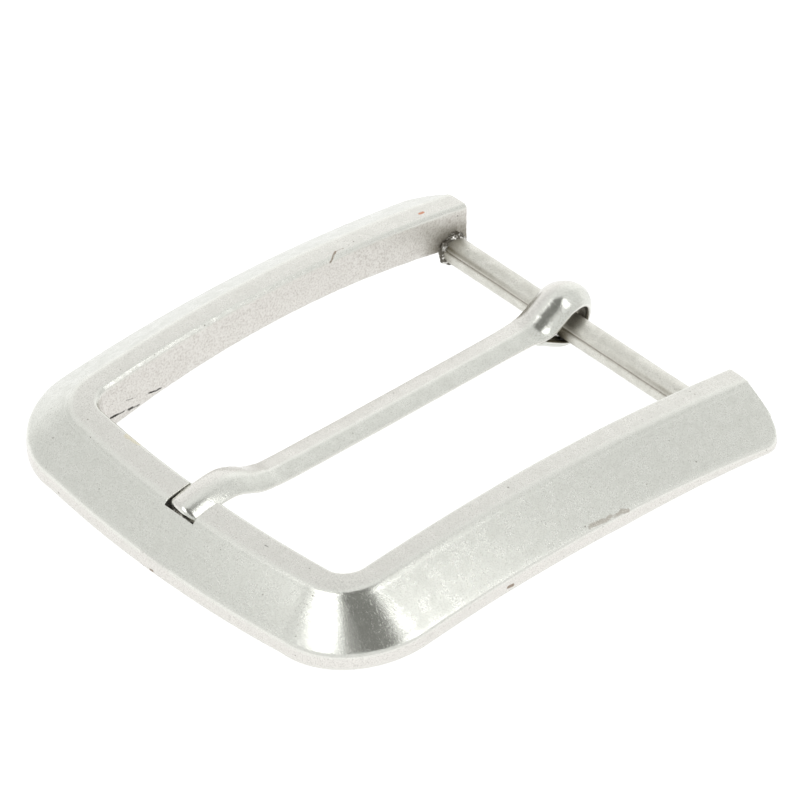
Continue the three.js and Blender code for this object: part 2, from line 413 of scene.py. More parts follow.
class Wiring:
    """Short calls that add and join the nodes of one material."""

    def __init__(self, name: str) -> None:
        """Start a material with an output and a Principled shader.

        Args:
            name: The material's name.
        """
        self.material = bpy.data.materials.new(name)
        self.material.use_nodes = True
        self.tree = self.material.node_tree
        self.shader = self.tree.nodes["Principled BSDF"]

    def feed(self, socket: Socket, value: Feed) -> None:
        """Join a socket to another, or give it a constant.

        Args:
            socket: The socket to feed.
            value: Another socket, or the constant.
        """
        if isinstance(value, bpy.types.NodeSocket):
            self.tree.links.new(value, socket)
        else:
            socket.default_value = value

    def node(self, kind: str, **settings: object) -> bpy.types.Node:
        """Add a node of a kind, with its settings.

        Args:
            kind: The node's type.
            **settings: The node's own settings.

        Returns:
            The node.
        """
        made = self.tree.nodes.new(kind)
        for key, value in settings.items():
            setattr(made, key, value)
        return made

    def math(self, operation: str, a: Feed, b: Feed = 0.0, clamp: bool = False) -> Socket:
        """One sum on two values.

        Args:
            operation: The Math node's operation.
            a: The first value.
            b: The second value.
            clamp: Whether the result stays from 0 to 1.

        Returns:
            The result's socket.
        """
        made = self.node("ShaderNodeMath", operation=operation, use_clamp=clamp)
        self.feed(made.inputs[0], a)
        self.feed(made.inputs[1], b)
        return made.outputs[0]

    def vector_math(
        self, operation: str, a: Feed, b: Feed = (0, 0, 0), scale: Optional[Feed] = None
    ) -> bpy.types.Node:
        """One sum on two vectors.

        Args:
            operation: The Vector Math node's operation.
            a: The first vector.
            b: The second vector, which a scaling doesn't use.
            scale: The factor of a scaling.

        Returns:
            The node, because its result may be a vector or a value.
        """
        made = self.node("ShaderNodeVectorMath", operation=operation)
        self.feed(made.inputs[0], a)
        self.feed(made.inputs[1], b)
        if scale is not None:
            self.feed(made.inputs["Scale"], scale)
        return made

    def span(self, value: Feed, low: float, high: float, to_low: float, to_high: float) -> Socket:
        """Map a value smoothly from one range to another.

        Args:
            value: The value.
            low: Start of its range.
            high: End of its range.
            to_low: The result at the start.
            to_high: The result at the end.

        Returns:
            The result's socket.
        """
        made = self.node("ShaderNodeMapRange", interpolation_type="SMOOTHSTEP")
        for socket, given in zip(made.inputs[:5], (value, low, high, to_low, to_high)):
            self.feed(socket, given)
        return made.outputs[0]

    def noise(self, where: Socket, scale: float, detail: float = 3.0, rough: float = 0.55) -> Socket:
        """Noise at a number of cells to the millimetre.

        Args:
            where: The place to read it at.
            scale: Cells to the millimetre.
            detail: How many finer layers it has.
            rough: How strong they are.

        Returns:
            The noise's socket.
        """
        made = self.node("ShaderNodeTexNoise")
        self.feed(made.inputs["Vector"], where)
        made.inputs["Scale"].default_value = scale
        made.inputs["Detail"].default_value = detail
        made.inputs["Roughness"].default_value = rough
        return made.outputs["Fac"]

    def blend(self, share: Feed, a: Feed, b: Feed) -> Socket:
        """The colour a share of the way from a to b.

        Args:
            share: The share, from 0 to 1.
            a: The first colour.
            b: The second colour.

        Returns:
            The colour's socket.
        """
        made = self.node("ShaderNodeMix", data_type="RGBA")
        self.feed(made.inputs["Factor"], share)
        for name, value in (("A", a), ("B", b)):
            socket = next(s for s in made.inputs if s.name == name and s.type == "RGBA")
            self.feed(socket, value if isinstance(value, bpy.types.NodeSocket) else (*value, 1.0))
        return next(s for s in made.outputs if s.type == "RGBA")

    def wear_and_light(self, wear_and_light: WearAndLight) -> Socket:
        """One of the mesh's attributes of wear and painted light and shade."""
        return self.node("ShaderNodeAttribute", attribute_name=wear_and_light.value).outputs["Fac"]

    def millimetres(self) -> Socket:
        """The place on the piece, in millimetres."""
        place = self.node("ShaderNodeTexCoord").outputs["Object"]
        return self.vector_math("SCALE", place, scale=1 / MM).outputs[0]

    def bump(self, height: Feed, depth: float) -> None:
        """Give the shader's surface a relief of a depth in millimetres.

        Args:
            height: The relief's height, from about 0 to 1.
            depth: Its depth, in millimetres.
        """
        made = self.node("ShaderNodeBump")
        made.inputs["Strength"].default_value = 1.0
        made.inputs["Distance"].default_value = depth * MM
        self.feed(made.inputs["Height"], height)
        self.feed(self.shader.inputs["Normal"], made.outputs[0])


@dataclass(frozen=True)
class Blemish:
    """A flaw, stain or dark mark along a short line, such as a spot or a patch.

    Attributes:
        start: One end, on the drawing.
        end: The other end.
        width: Its width, in millimetres.
        wander: How far its line wanders.
        colour: Its colour.
        strength: How much of that colour shows.
        depth: How deep it lies, against a scratch's 1.
    """

    start: tuple[float, float, float]
    end: tuple[float, float, float]
    width: float
    wander: float
    colour: Colour
    strength: float = 1.0
    depth: float = 0.0

    def mask(self, wiring: Wiring, where: Socket, drawing: Drawing) -> Socket:
        """1 on the blemish and 0 away from it.

        Args:
            wiring: The material's wiring.
            where: The place in millimetres, already made to wander.
            drawing: Where the drawing lies.

        Returns:
            The mask's socket.
        """
        a = Vector(self.start) + drawing.origin
        b = Vector(self.end) + drawing.origin
        line = b - a
        from_a = wiring.vector_math("SUBTRACT", where, tuple(a)).outputs[0]
        along = wiring.vector_math("DOT_PRODUCT", from_a, tuple(line / line.length_squared))
        share = wiring.math("ADD", along.outputs["Value"], 0.0, clamp=True)
        foot = wiring.vector_math("SCALE", tuple(line), scale=share).outputs[0]
        off = wiring.vector_math("DISTANCE", from_a, foot).outputs["Value"]
        half = self.width / 2
        return wiring.span(off, half / 2, half, self.strength, 0.0)


@dataclass(frozen=True)
class Skin:
    """The patterns of one piece's nickel, each a socket that runs from 0 to 1."""

    clouds: Socket
    speckle: Socket
    grain: Socket
    crust: Socket
    scratches: Socket
    pits: Socket
    edge: Socket
    cast: Socket
    # Where shade is painted.
    shade_mark: Socket


@dataclass(frozen=True)
class NickelFinish:
    """Tumbled, aged nickel plate with fine scratches, pits and worn edges.

    Noise cells are counted to the millimetre, and a band is the part of a noise over
    which a tone comes in.

    Attributes:
        tone: The plate's main tone.
        shade: The tone of its slightly darker clouds.
        warm_lit: The lighter, warmer tone painted on facets where light falls; the raw cast skin's
            lighter patches take it too.
        tarnish: The colour that lies in pits and scratches.
        raw: The dark patches of a raw cast skin.
        painted_shade_colour: The brown of the shade painted round the heel bar's ends, along its seam
            and under and inside the prong's eye.
        roughness: The roughness of its flats.
        edge_roughness: The roughness of its worn edges.
        rough_spread: How much smoother and duller than that its clouds are.
        scratch: How strong its scratches are.
        pits: How strong its pits are.
        relief: How deep all of this stands, in millimetres.
        cloud_cells: Cells of its clouds.
        speckle_cells: Cells of its speckle.
        grain_cells: Cells of its grain.
        crust_cells: Cells of its cast crust.
        cloud_band: The clouds' band.
        speckle_band: The speckle's band.
        grain_band: The grain's band.
        crust_band: The crust's band.
        speckle_dark: How much tarnish its speckle holds.
        grain_dark: How much tarnish its grain holds.
        cast_strength: How much of the raw cast skin shows.
        edge_wear: How far an edge's tone is worn.
        edge_bright: How much brighter than the flats a worn edge is.
        edge_shine: How far a worn edge takes the edge's roughness.
        grain_height: Height of the speckle and of the grain, against the relief.
        scratch_depth: Depth of a scratch, against the relief.
        pit_depth: Depth of a pit, against the relief.
        crust_height: Height of the crust, against the relief.
        dulling: Roughness that pits and the cast skin add.
        shade_dulling: Roughness added where shade is painted.
        pit_cells: Cells of the grid that pits are scattered on.
        pit_share: Share of those cells that hold no pit.
        pit_size: The largest pit's radius, in cells.
        blemishes: Its larger flaws and stains.
    """

    tone: Colour = (0.69, 0.70, 0.655)
    shade: Colour = (0.64, 0.65, 0.605)
    warm_lit: Colour = (0.75, 0.73, 0.695)
    tarnish: Colour = (0.16, 0.145, 0.12)
    raw: Colour = (0.50, 0.465, 0.43)
    painted_shade_colour: Colour = (0.16, 0.14, 0.095)
    roughness: float = 0.28
    edge_roughness: float = 0.13
    rough_spread: Band = (0.04, 0.06)
    scratch: float = 0.35
    pits: float = 0.7
    relief: float = 0.02
    cloud_cells: float = 0.7
    speckle_cells: float = 6.5
    grain_cells: float = 11.0
    crust_cells: float = 4.4
    cloud_band: Band = (0.35, 0.65)
    speckle_band: Band = (0.5, 0.7)
    grain_band: Band = (0.48, 0.72)
    crust_band: Band = (0.45, 0.62)
    speckle_dark: float = 0.26
    grain_dark: float = 0.42
    cast_strength: float = 0.8
    edge_wear: float = 0.45
    edge_bright: float = 1.16
    edge_shine: float = 0.25
    grain_height: float = 0.32
    scratch_depth: float = 0.15
    pit_depth: float = 0.5
    crust_height: float = 2.0
    dulling: float = 0.12
    shade_dulling: float = 0.25
    pit_cells: float = 1.5
    pit_share: float = 0.86
    pit_size: float = 0.16
    blemishes: tuple[Blemish, ...] = ()

    def material(self, name: str, drawing: Drawing) -> bpy.types.Material:
        """Make the finish.

        Args:
            name: The material's name.
            drawing: Where the drawing lies.

        Returns:
            The material.
        """
        w = Wiring(name)
        where = w.millimetres()
        skin = self._skin(w, where)
        base = self._colour(w, skin)
        height = self._height(w, skin)
        for i, blemish in enumerate(self.blemishes):
            mask = blemish.mask(w, self._wander(w, where, blemish.wander, i), drawing)
            base = w.blend(mask, base, blemish.colour)
            if blemish.depth:
                height = w.math("SUBTRACT", height, w.math("MULTIPLY", mask, blemish.depth))
        w.bump(height, self.relief)
        w.feed(w.shader.inputs["Base Color"], base)
        w.feed(w.shader.inputs["Roughness"], self._roughness(w, skin))
        w.shader.inputs["Metallic"].default_value = 1.0
        return w.material

    def _skin(self, w: Wiring, where: Socket) -> Skin:
        """The patterns of the metal at a place in millimetres.

        Args:
            w: The material's wiring.
            where: The place on the piece, in millimetres.

        Returns:
            The patterns.
        """
        return Skin(
            clouds=w.noise(where, self.cloud_cells, 5.0, 0.65),
            speckle=w.noise(where, self.speckle_cells, 4.0, 0.75),
            grain=w.noise(where, self.grain_cells, 2.0, 0.6),
            crust=w.noise(where, self.crust_cells, 6.0, 0.8),
            scratches=self._scratches(w, where),
            pits=self._pits(w, where),
            edge=w.wear_and_light(WearAndLight.EDGE),
            cast=w.wear_and_light(WearAndLight.CAST),
            shade_mark=w.wear_and_light(WearAndLight.PAINTED_SHADE),
        )

    def _colour(self, w: Wiring, skin: Skin) -> Socket:
        """The metal's colour before its blemishes.

        Args:
            w: The material's wiring.
            skin: The metal's patterns.

        Returns:
            The colour's socket.
        """
        base = w.blend(w.span(skin.clouds, *self.cloud_band, 0.0, 1.0), self.tone, self.shade)
        # Painted light: facets where light falls take the lighter, warmer tone.
        base = w.blend(w.wear_and_light(WearAndLight.LIT_TONE), base, self.warm_lit)
        speckle = w.span(skin.speckle, *self.speckle_band, 0.0, self.speckle_dark)
        base = w.blend(speckle, base, self.tarnish)
        grain = w.span(skin.grain, *self.grain_band, 0.0, self.grain_dark)
        base = w.blend(grain, base, self.tarnish)
        raw = w.blend(w.span(skin.crust, *self.crust_band, 0.0, 1.0), self.warm_lit, self.raw)
        base = w.blend(w.math("MULTIPLY", skin.cast, self.cast_strength), base, raw)
        base = w.blend(w.math("MULTIPLY", skin.scratches, self.scratch), base, self.shade)
        base = w.blend(w.math("MULTIPLY", skin.pits, self.pits), base, self.tarnish)
        bright = tuple(min(1.0, c * self.edge_bright) for c in self.tone)
        base = w.blend(w.math("MULTIPLY", skin.edge, self.edge_wear), base, bright)
        # Painted shade in brown, a little uneven, where the shade marks lie.
        uneven = w.span(skin.crust, 0.3, 0.6, 0.75, 1.0)
        return w.blend(w.math("MULTIPLY", skin.shade_mark, uneven), base, self.painted_shade_colour)

    def _height(self, w: Wiring, skin: Skin) -> Socket:
        """The metal's relief before its blemishes.

        Args:
            w: The material's wiring.
            skin: The metal's patterns.

        Returns:
            The height's socket.
        """
        speckle = w.math("MULTIPLY", skin.speckle, self.grain_height)
        grain = w.math("MULTIPLY", skin.grain, self.grain_height)
        scratches = w.math("MULTIPLY", skin.scratches, self.scratch_depth)
        pits = w.math("MULTIPLY", skin.pits, self.pit_depth)
        crust = w.math("MULTIPLY", w.math("MULTIPLY", skin.crust, skin.cast), self.crust_height)
        height = w.math("SUBTRACT", w.math("ADD", speckle, grain), scratches)
        return w.math("ADD", w.math("SUBTRACT", height, pits), crust)

    def _roughness(self, w: Wiring, skin: Skin) -> Socket:
        """The metal's roughness, smoother where it is worn and duller where it is rough.

        Args:
            w: The material's wiring.
            skin: The metal's patterns.

        Returns:
            The roughness's socket.
        """
        smoother, duller = self.rough_spread
        rough = w.span(skin.clouds, 0.3, 0.7, self.roughness - smoother, self.roughness + duller)
        dull = w.math("MULTIPLY", w.math("ADD", skin.pits, skin.cast), self.dulling)
        worn = w.math("MAXIMUM", w.math("MULTIPLY", skin.edge, self.edge_shine), w.wear_and_light(WearAndLight.SHINE))
        polish = w.math("MULTIPLY", worn, self.edge_roughness - self.roughness)
        shade_mark = w.math("MULTIPLY", skin.shade_mark, self.shade_dulling)
        rough = w.math("ADD", w.math("ADD", rough, dull), polish)
        return w.math("ADD", rough, shade_mark, clamp=True)

    @staticmethod
    def _wander(w: Wiring, where: Socket, reach: float, seed: int) -> Socket:
        """The place moved about by noise, so that a line drawn there wanders.

        Args:
            w: The material's wiring.
            where: The place on the piece, in millimetres.
            reach: How far it wanders.
            seed: A number of its own for each line.

        Returns:
            The moved place's socket.
        """
        tangle = w.node("ShaderNodeTexNoise", noise_dimensions="4D")
        w.feed(tangle.inputs["Vector"], where)
        tangle.inputs["W"].default_value = 3.7 * seed
        tangle.inputs["Scale"].default_value = 0.9
        tangle.inputs["Detail"].default_value = 4.0
        centred = w.vector_math("SUBTRACT", tangle.outputs["Color"], (0.5, 0.5, 0.5)).outputs[0]
        moved = w.vector_math("SCALE", centred, scale=2 * reach).outputs[0]
        return w.vector_math("ADD", where, moved).outputs[0]

    @staticmethod
    def _scratches(w: Wiring, where: Socket) -> Socket:
        """Fine short scratches in four directions.

        Args:
            w: The material's wiring.
            where: The place on the piece, in millimetres.

        Returns:
            1 on a scratch and 0 off it.
        """
        total: Feed = 0.0
        for turn, squeeze in SCRATCH_WAYS:
            mapping = w.node("ShaderNodeMapping")
            w.feed(mapping.inputs["Vector"], where)
            mapping.inputs["Rotation"].default_value = (0.2, 0.1, turn)
            mapping.inputs["Scale"].default_value = (0.28 * squeeze, 8.0 * squeeze, 5.0)
            mapping.inputs["Location"].default_value = (turn * 9, turn * 5, 0)
            lines = w.noise(mapping.outputs[0], 1.0, 1.0, 0.4)
            total = w.math("MAXIMUM", total, w.span(lines, 0.66, 0.74, 0.0, 1.0))
        return total

    def _pits(self, w: Wiring, where: Socket) -> Socket:
        """Small scattered pits.

        Args:
            w: The material's wiring.
            where: The place on the piece, in millimetres.

        Returns:
            1 in a pit and 0 outside it.
        """
        cells = w.node("ShaderNodeTexVoronoi")
        w.feed(cells.inputs["Vector"], where)
        cells.inputs["Scale"].default_value = self.pit_cells
        chosen = w.node("ShaderNodeSeparateColor")
        w.feed(chosen.inputs[0], cells.outputs["Color"])
        pick = w.math("GREATER_THAN", chosen.outputs[0], self.pit_share)
        size = w.math("MULTIPLY", chosen.outputs[1], self.pit_size)
        near = w.math("LESS_THAN", cells.outputs["Distance"], size)
        return w.math("MULTIPLY", pick, near)


# Each scratch direction's turn in radians, and how much finer its scratches are.
SCRATCH_WAYS = ((0.35, 1.0), (1.15, 1.3), (2.05, 0.8), (2.75, 1.1))

NEAR_BLACK: Colour = (0.02, 0.018, 0.015)
RUST: Colour = (0.17, 0.105, 0.055)
COPPER: Colour = (0.52, 0.2, 0.1)
STRAW: Colour = (0.66, 0.6, 0.42)
DARK_PIT: Colour = (0.05, 0.045, 0.04)

FRAME_BLEMISHES = (
    # Near-black grooved lines low on the left arm's inner wall.
    Blemish((-20.4, -22.4, -0.9), (-20.4, -21.0, -1.0), 0.42, 0.3, NEAR_BLACK, 0.95, 2.0),
    Blemish((-20.4, -21.0, -1.0), (-20.4, -18.6, -1.25), 0.34, 0.45, NEAR_BLACK, 0.9, 2.0),
    Blemish((-20.4, -17.4, -0.35), (-20.4, -15.4, -0.45), 0.36, 0.4, NEAR_BLACK, 0.95, 2.0),
    Blemish((-20.4, -22.2, 0.6), (-20.4, -18.6, -0.1), 0.12, 0.4, NEAR_BLACK, 0.6, 1.5),
    Blemish((-20.4, 7.8, 4.9), (-21.1, 9.1, 5.3), 0.3, 0.3, RUST, 0.7, 0.6),
    Blemish((-21.1, 9.1, 5.3), (-21.15, 10.2, 5.25), 0.2, 0.25, RUST, 0.55, 0.4),
    Blemish((-21.4, 21.2, 4.5), (-21.4, 21.7, 4.5), 0.5, 0.1, COPPER, 0.85, 0.8),
    Blemish((-29.0, 16.9, 0.95), (-29.0, 17.1, 0.95), 0.5, 0.05, DARK_PIT, depth=2.0),
    Blemish((28.8, 0.6, 1.5), (29.1, 5.5, 1.3), 0.65, 0.5, RUST, 0.38, 0.3),
    Blemish((29.2, -10.9, -0.4), (29.2, -10.3, -0.4), 0.5, 0.15, RUST, 0.75, 0.5),
    Blemish((-0.9, -33.4, -4.3), (-0.5, -33.4, -4.2), 0.45, 0.12, RUST, 0.8, 0.5),
    Blemish((-13.0, -26.3, 2.7), (-11.0, -26.3, 2.7), 0.7, 0.3, STRAW, 0.5),
    Blemish((10.5, -27.5, 2.5), (12.4, -27.3, 2.4), 0.14, 0.04, DARK_PIT, 0.8, 1.0),
    Blemish((24.0, -9.0, 4.5), (26.5, -7.0, 3.5), 0.1, 0.05, DARK_PIT, 0.45, 0.6),
    Blemish((-9.0, -31.2, 0.8), (-8.6, -31.0, 0.9), 0.22, 0.05, DARK_PIT, 0.8, 1.2),
    Blemish((3.9, -31.6, 0.6), (4.1, -31.5, 0.7), 0.2, 0.05, DARK_PIT, 0.8, 1.2),
)


@dataclass
class HeelBar:
    """The round bar with a fine seam along its front.

    Attributes:
        y: Y of its axis.
        z: Height of its axis.
        radius: Its radius.
        reach: X of its buried ends.
        wall: X of the arms' walls that it stands between.
        seam_angle: Where its seam lies, in degrees round the bar.
        seam_wander: How far the seam strays, in degrees.
        seam_depth: The seam's depth.
        seam_half: The seam's half width, in degrees.
        lap: How far the metal on one side of the seam stands below the other.
        eye_x: X of the middle of the length under the prong's eye, where shade is painted on the bar.
        eye_half: Half of that length.
        wave: The bar's unevenness.
        draw_in: How far its surface is drawn in to stay in its own size.
        round_steps: Points round the bar.
        long_steps: Sections along the bar.
    """

    y: float = 24.7
    z: float = -0.88
    radius: float = 1.55
    reach: float = 20.6
    wall: float = 20.2
    seam_angle: float = 158.0
    seam_wander: float = 1.5
    seam_depth: float = 0.07
    seam_half: float = 3.2
    lap: float = 0.018
    eye_x: float = -1.6
    eye_half: float = 2.4
    wave: Ripple = Ripple(0.02, 0.35)
    draw_in: float = 0.01
    round_steps: int = 120
    long_steps: int = 90

    def centre(self) -> Vector:
        """The bar's middle on the drawing."""
        return Vector((0, self.y, self.z))

    def build(self, drawing: Drawing) -> bpy.types.Object:
        """Make the bar's mesh.

        Args:
            drawing: Where the drawing lies.

        Returns:
            The bar.
        """
        swept = SweptMesh("seamed_heel_bar", drawing)
        for k in range(self.long_steps + 1):
            x = lerp(-self.reach, self.reach, k / self.long_steps)
            stray = self.seam_wander * noise.noise(Vector((x * 0.2, 3, 0)))
            swept.add(*self._hoop(x, self.seam_angle + stray))
        return swept.build(lambda point, normal: self.wave.at(point) - self.draw_in)

    def _hoop(self, x: float, seam_at: float) -> tuple[Ring, Marks]:
        """The bar's section at x.

        Args:
            x: Where the section stands along the bar.
            seam_at: Where the seam lies there, in degrees round the bar.

        Returns:
            The section's points, and their marks of wear and painted light and shade.
        """
        from_wall = self.wall - abs(x)
        # Painted shade where the bar meets the arms' walls.
        shade_mark = 1 - ease(from_wall, 0.3, 3.0)
        fade = 1 - ease(from_wall, 4, 17)
        in_eye = math.exp(-(((x - self.eye_x) / self.eye_half) ** 4))
        ring, seam, painted_dark = [], [], []
        for i in range(self.round_steps):
            degrees = 360 * i / self.round_steps
            past_seam = degrees - seam_at
            off = abs((past_seam + 180) % 360 - 180)
            groove = math.exp(-((off / self.seam_half) ** 2))
            step = self.lap * (1 - ease(past_seam, -2, 14)) * ease(degrees, 60, 150)
            r = self.radius - self.seam_depth * groove - step
            a = math.radians(degrees)
            ring.append(Vector((x, self.y + r * math.cos(a), self.z + r * math.sin(a))))
            seam.append(groove)
            # A painted dark band beside the seam, fading away from the walls, stands in for shade and
            # the arms' reflection.
            beside = math.exp(-(((past_seam + 17) / 9) ** 2))
            # Painted shade under the prong's eye, darkest below the seam.
            under_eye = 1.0 if past_seam > 0 else 0.45
            # The painted shade adds up near the walls, in the seam's groove, beside the seam and under
            # the eye.
            mark = 0.6 * shade_mark + 0.8 * groove + 0.55 * beside * fade + under_eye * in_eye
            painted_dark.append(min(1.0, mark))
        plain = [0.0] * self.round_steps
        # The seam's groove also takes the painted lit warm tone and the raw cast skin.
        marks = {WearAndLight.EDGE: plain, WearAndLight.LIT_TONE: seam, WearAndLight.CAST: seam, WearAndLight.PAINTED_SHADE: painted_dark, WearAndLight.SHINE: plain}
        return ring, marks


@dataclass(frozen=True)
class Station:
    """A place along the frame where a section stands.

    Attributes:
        stretch: The stretch it stands on.
        side: The half of the frame.
        share: How far along the stretch, from the heel.
        notched: How far the section is cut down into the notch, from 0 to 1.
        inset: How far the whole section is drawn in, in millimetres.
        push: How far it is moved out past the arm's end, in millimetres.
    """

    stretch: Stretch
    side: Side
    share: float
    notched: float = 0.0
    inset: float = 0.0
    push: float = 0.0


@dataclass
class BuckleFrame:
    """The cast frame: three sides, arched, with a notch for the prong's tip.

    Attributes:
        bar: The heel bar, round whose ends shade is painted on the arms.
        inner: The plan line of the inner wall.
        ridge: The plan line of the ridge.
        outer: The plan line of the rim.
        heel_end: Y of each arm's end.
        heel_corner: Radius of each arm's outer corner at the heel.
        end_rounding: Rounding of the arms' end faces.
        crown_y: Y of the top arch's highest place.
        crown_radius: Radius of the top arch.
        inner_top: Height of the inner wall's top at the arch's highest place.
        ridge_top: Height of the ridge there.
        rim_top: Height of the rim's upper edge there.
        rim_front: Height of the rim's face at the front.
        rim_heel: Height of the rim's face at the heel.
        rim_thins: Y between which the rim goes from one to the other.
        sole_y: Y of the underside arch's highest place.
        sole_radius: Radius of the underside arch.
        sole_height: Height of that place.
        sole_straight: Reach along y beyond which the underside runs straight.
        edge_break: Width of the broken edge on the inner wall's top.
        slope_start: Share of the slope that the ridge's rounding takes.
        notch_x: X of the notch's middle.
        notch_half: Half the notch's width.
        notch_back: Y of the notch's back wall.
        notch_floor: Height of the notch's floor at its inner end.
        notch_floor_y: Y of that end.
        notch_slope: Rise of the floor for each millimetre of y.
        notch_fillets: The fillet of each corner of a notched section.
        notch_wall: Offsets of the sections at a notch's wall, and how far each is cut.
        shade_reach: Distances from the bar's axis between which the shade painted round it fades out.
        shade_half: X that this painted shade doesn't pass.
        swell: The casting's long unevenness.
        dents: Its small dents.
        skin: The rough skin of the left arm's inner wall.
        skin_band: X between which that wall lies.
        draw_in: How far the surface is drawn in to stay in its own size.
        section: The roundings and facets of its section.
    """

    bar: HeelBar
    inner: PlanLine = PlanLine(20.48, -0.0061, -0.0005, -26.2, 0.0028, 2.6)
    ridge: PlanLine = PlanLine(23.36, -0.0061, -0.0005, -29.47, 0.0037, 5.2)
    outer: PlanLine = PlanLine(29.25, 0.0053, 0.0, -33.37, 0.0030, 10.6)
    heel_end: dict[Side, float] = field(default_factory=lambda: {Side.LEFT: 26.9, Side.RIGHT: 28.0})
    heel_corner: dict[Side, float] = field(default_factory=lambda: {Side.LEFT: 1.2, Side.RIGHT: 2.8})
    end_rounding: float = 0.35
    crown_y: float = 4.19
    crown_radius: float = 176.3
    inner_top: float = 5.37
    ridge_top: float = 5.3
    rim_top: float = 1.2
    rim_front: float = 1.8
    rim_heel: float = 0.9
    rim_thins: Band = (5.0, 27.0)
    sole_y: float = 4.5
    sole_radius: float = 117.0
    sole_height: float = 0.65
    sole_straight: float = 24.0
    edge_break: float = 0.4
    slope_start: float = 0.12
    notch_x: float = -0.3
    notch_half: float = 2.2
    notch_back: float = -29.9
    notch_floor: float = 0.9
    notch_floor_y: float = -26.5
    notch_slope: float = 0.24
    notch_fillets: tuple[float, ...] = (0.35, 0.1, 0.02, 0.08, 0.08, 0.4, 0.35)
    notch_wall: tuple[Band, ...] = (
        (0.09, 0.0),
        (0.04, 0.012),
        (0.01, 0.04),
        (0.0, 0.1),
        (-0.01, 0.9),
        (-0.04, 0.97),
        (-0.09, 1.0),
    )
    shade_reach: Band = (1.6, 5.5)
    shade_half: float = 21.0
    swell: Ripple = Ripple(0.03, 0.1)
    dents: Ripple = Ripple(0.006, 0.4, Vector((5, 1, 2)))
    skin: Ripple = Ripple(0.05, 1.6, Vector((1, 7, 3)))
    skin_band: Band = (-21.0, -19.0)
    draw_in: float = 0.03
    # Painted light: the warm_lit shares give the inner wall, the inner facet and the rim's face a
    # lighter tone.
    section: Section = Section(
        (
            Facet(0.35, 14, 0.0, warm_lit=0.5, cast=1.0),
            Facet(0.16, 1, 0.0, warm_lit=0.1),
            Facet(0.2, 8, 0.02, warm_lit=0.5),
            Facet(0.4, 2, 0.0),
            Facet(0.02, 16, 0.05),
            Facet(0.4, 5, 0.04, warm_lit=0.9),
            Facet(0.35, 12, 0.0, warm_lit=0.2, cast=0.5),
        )
    )

    def crown_drop(self, y: float) -> float:
        """Height lost to the top arch at y."""
        return (y - self.crown_y) ** 2 / (2 * self.crown_radius)

    def sole(self, y: float) -> float:
        """Height of the underside's inner edge at y.

        Args:
            y: Y of the inner line.

        Returns:
            The height, in millimetres.
        """
        reach = abs(y - self.sole_y)
        curved = min(reach, self.sole_straight)
        run_out = (reach - curved) * curved / self.sole_radius
        return self.sole_height - curved**2 / (2 * self.sole_radius) - run_out

    def rim_foot(self, y: float) -> float:
        """Height of the rim's lower edge at y.

        Args:
            y: Y of the outer line.

        Returns:
            The height, in millimetres.
        """
        start, end = self.rim_thins
        thinned = min(1.0, max(0.0, (y - start) / (end - start)))
        rim = lerp(self.rim_front, self.rim_heel, thinned)
        return self.rim_top - rim - self.crown_drop(y)

    def stations(self) -> list[Station]:
        """Every section's place, from the left heel end round to the right."""
        left = self._half(Side.LEFT)
        right = self._half(Side.RIGHT)
        right.reverse()
        return left + right[1:]

    def _half(self, side: Side) -> list[Station]:
        """Half the frame's stations, from its heel end to the front's middle.

        Args:
            side: Which half.

        Returns:
            The stations.
        """
        end_steps = 5
        ends = []
        for k in range(end_steps, 0, -1):
            angle = k / end_steps * math.pi / 2
            inset = self.end_rounding * (1 - math.cos(angle))
            push = self.end_rounding * math.sin(angle)
            ends.append(Station(Stretch.ARM, side, 0.0, inset=inset, push=push))
        close_steps, open_steps = 26, 120
        close_part = 0.07
        shares = [close_part * k / close_steps for k in range(close_steps)]
        shares += [lerp(close_part, 1.0, k / open_steps) for k in range(open_steps)]
        arm = [Station(Stretch.ARM, side, share) for share in shares]
        turns = 44
        corner = [Station(Stretch.CORNER, side, k / turns) for k in range(turns)]
        return ends + arm + corner + self._front(side)

    def _front(self, side: Side) -> list[Station]:
        """Stations along half the front side, closer together at the notch's wall.

        Args:
            side: Which half.

        Returns:
            The stations.
        """
        wall = abs(self.notch_x + side.value * self.notch_half)
        reach = self.inner.corner_x()
        outside_steps, inside_steps, clear = 46, 8, 0.14
        places = [(lerp(reach, wall + clear, k / outside_steps), 0.0) for k in range(outside_steps + 1)]
        places += [(wall + off, cut) for off, cut in self.notch_wall]
        last = places[-1][0]
        places += [(lerp(last, 0.0, k / inside_steps), 1.0) for k in range(1, inside_steps + 1)]
        return [Station(Stretch.FRONT, side, 1 - x / reach, cut) for x, cut in places]

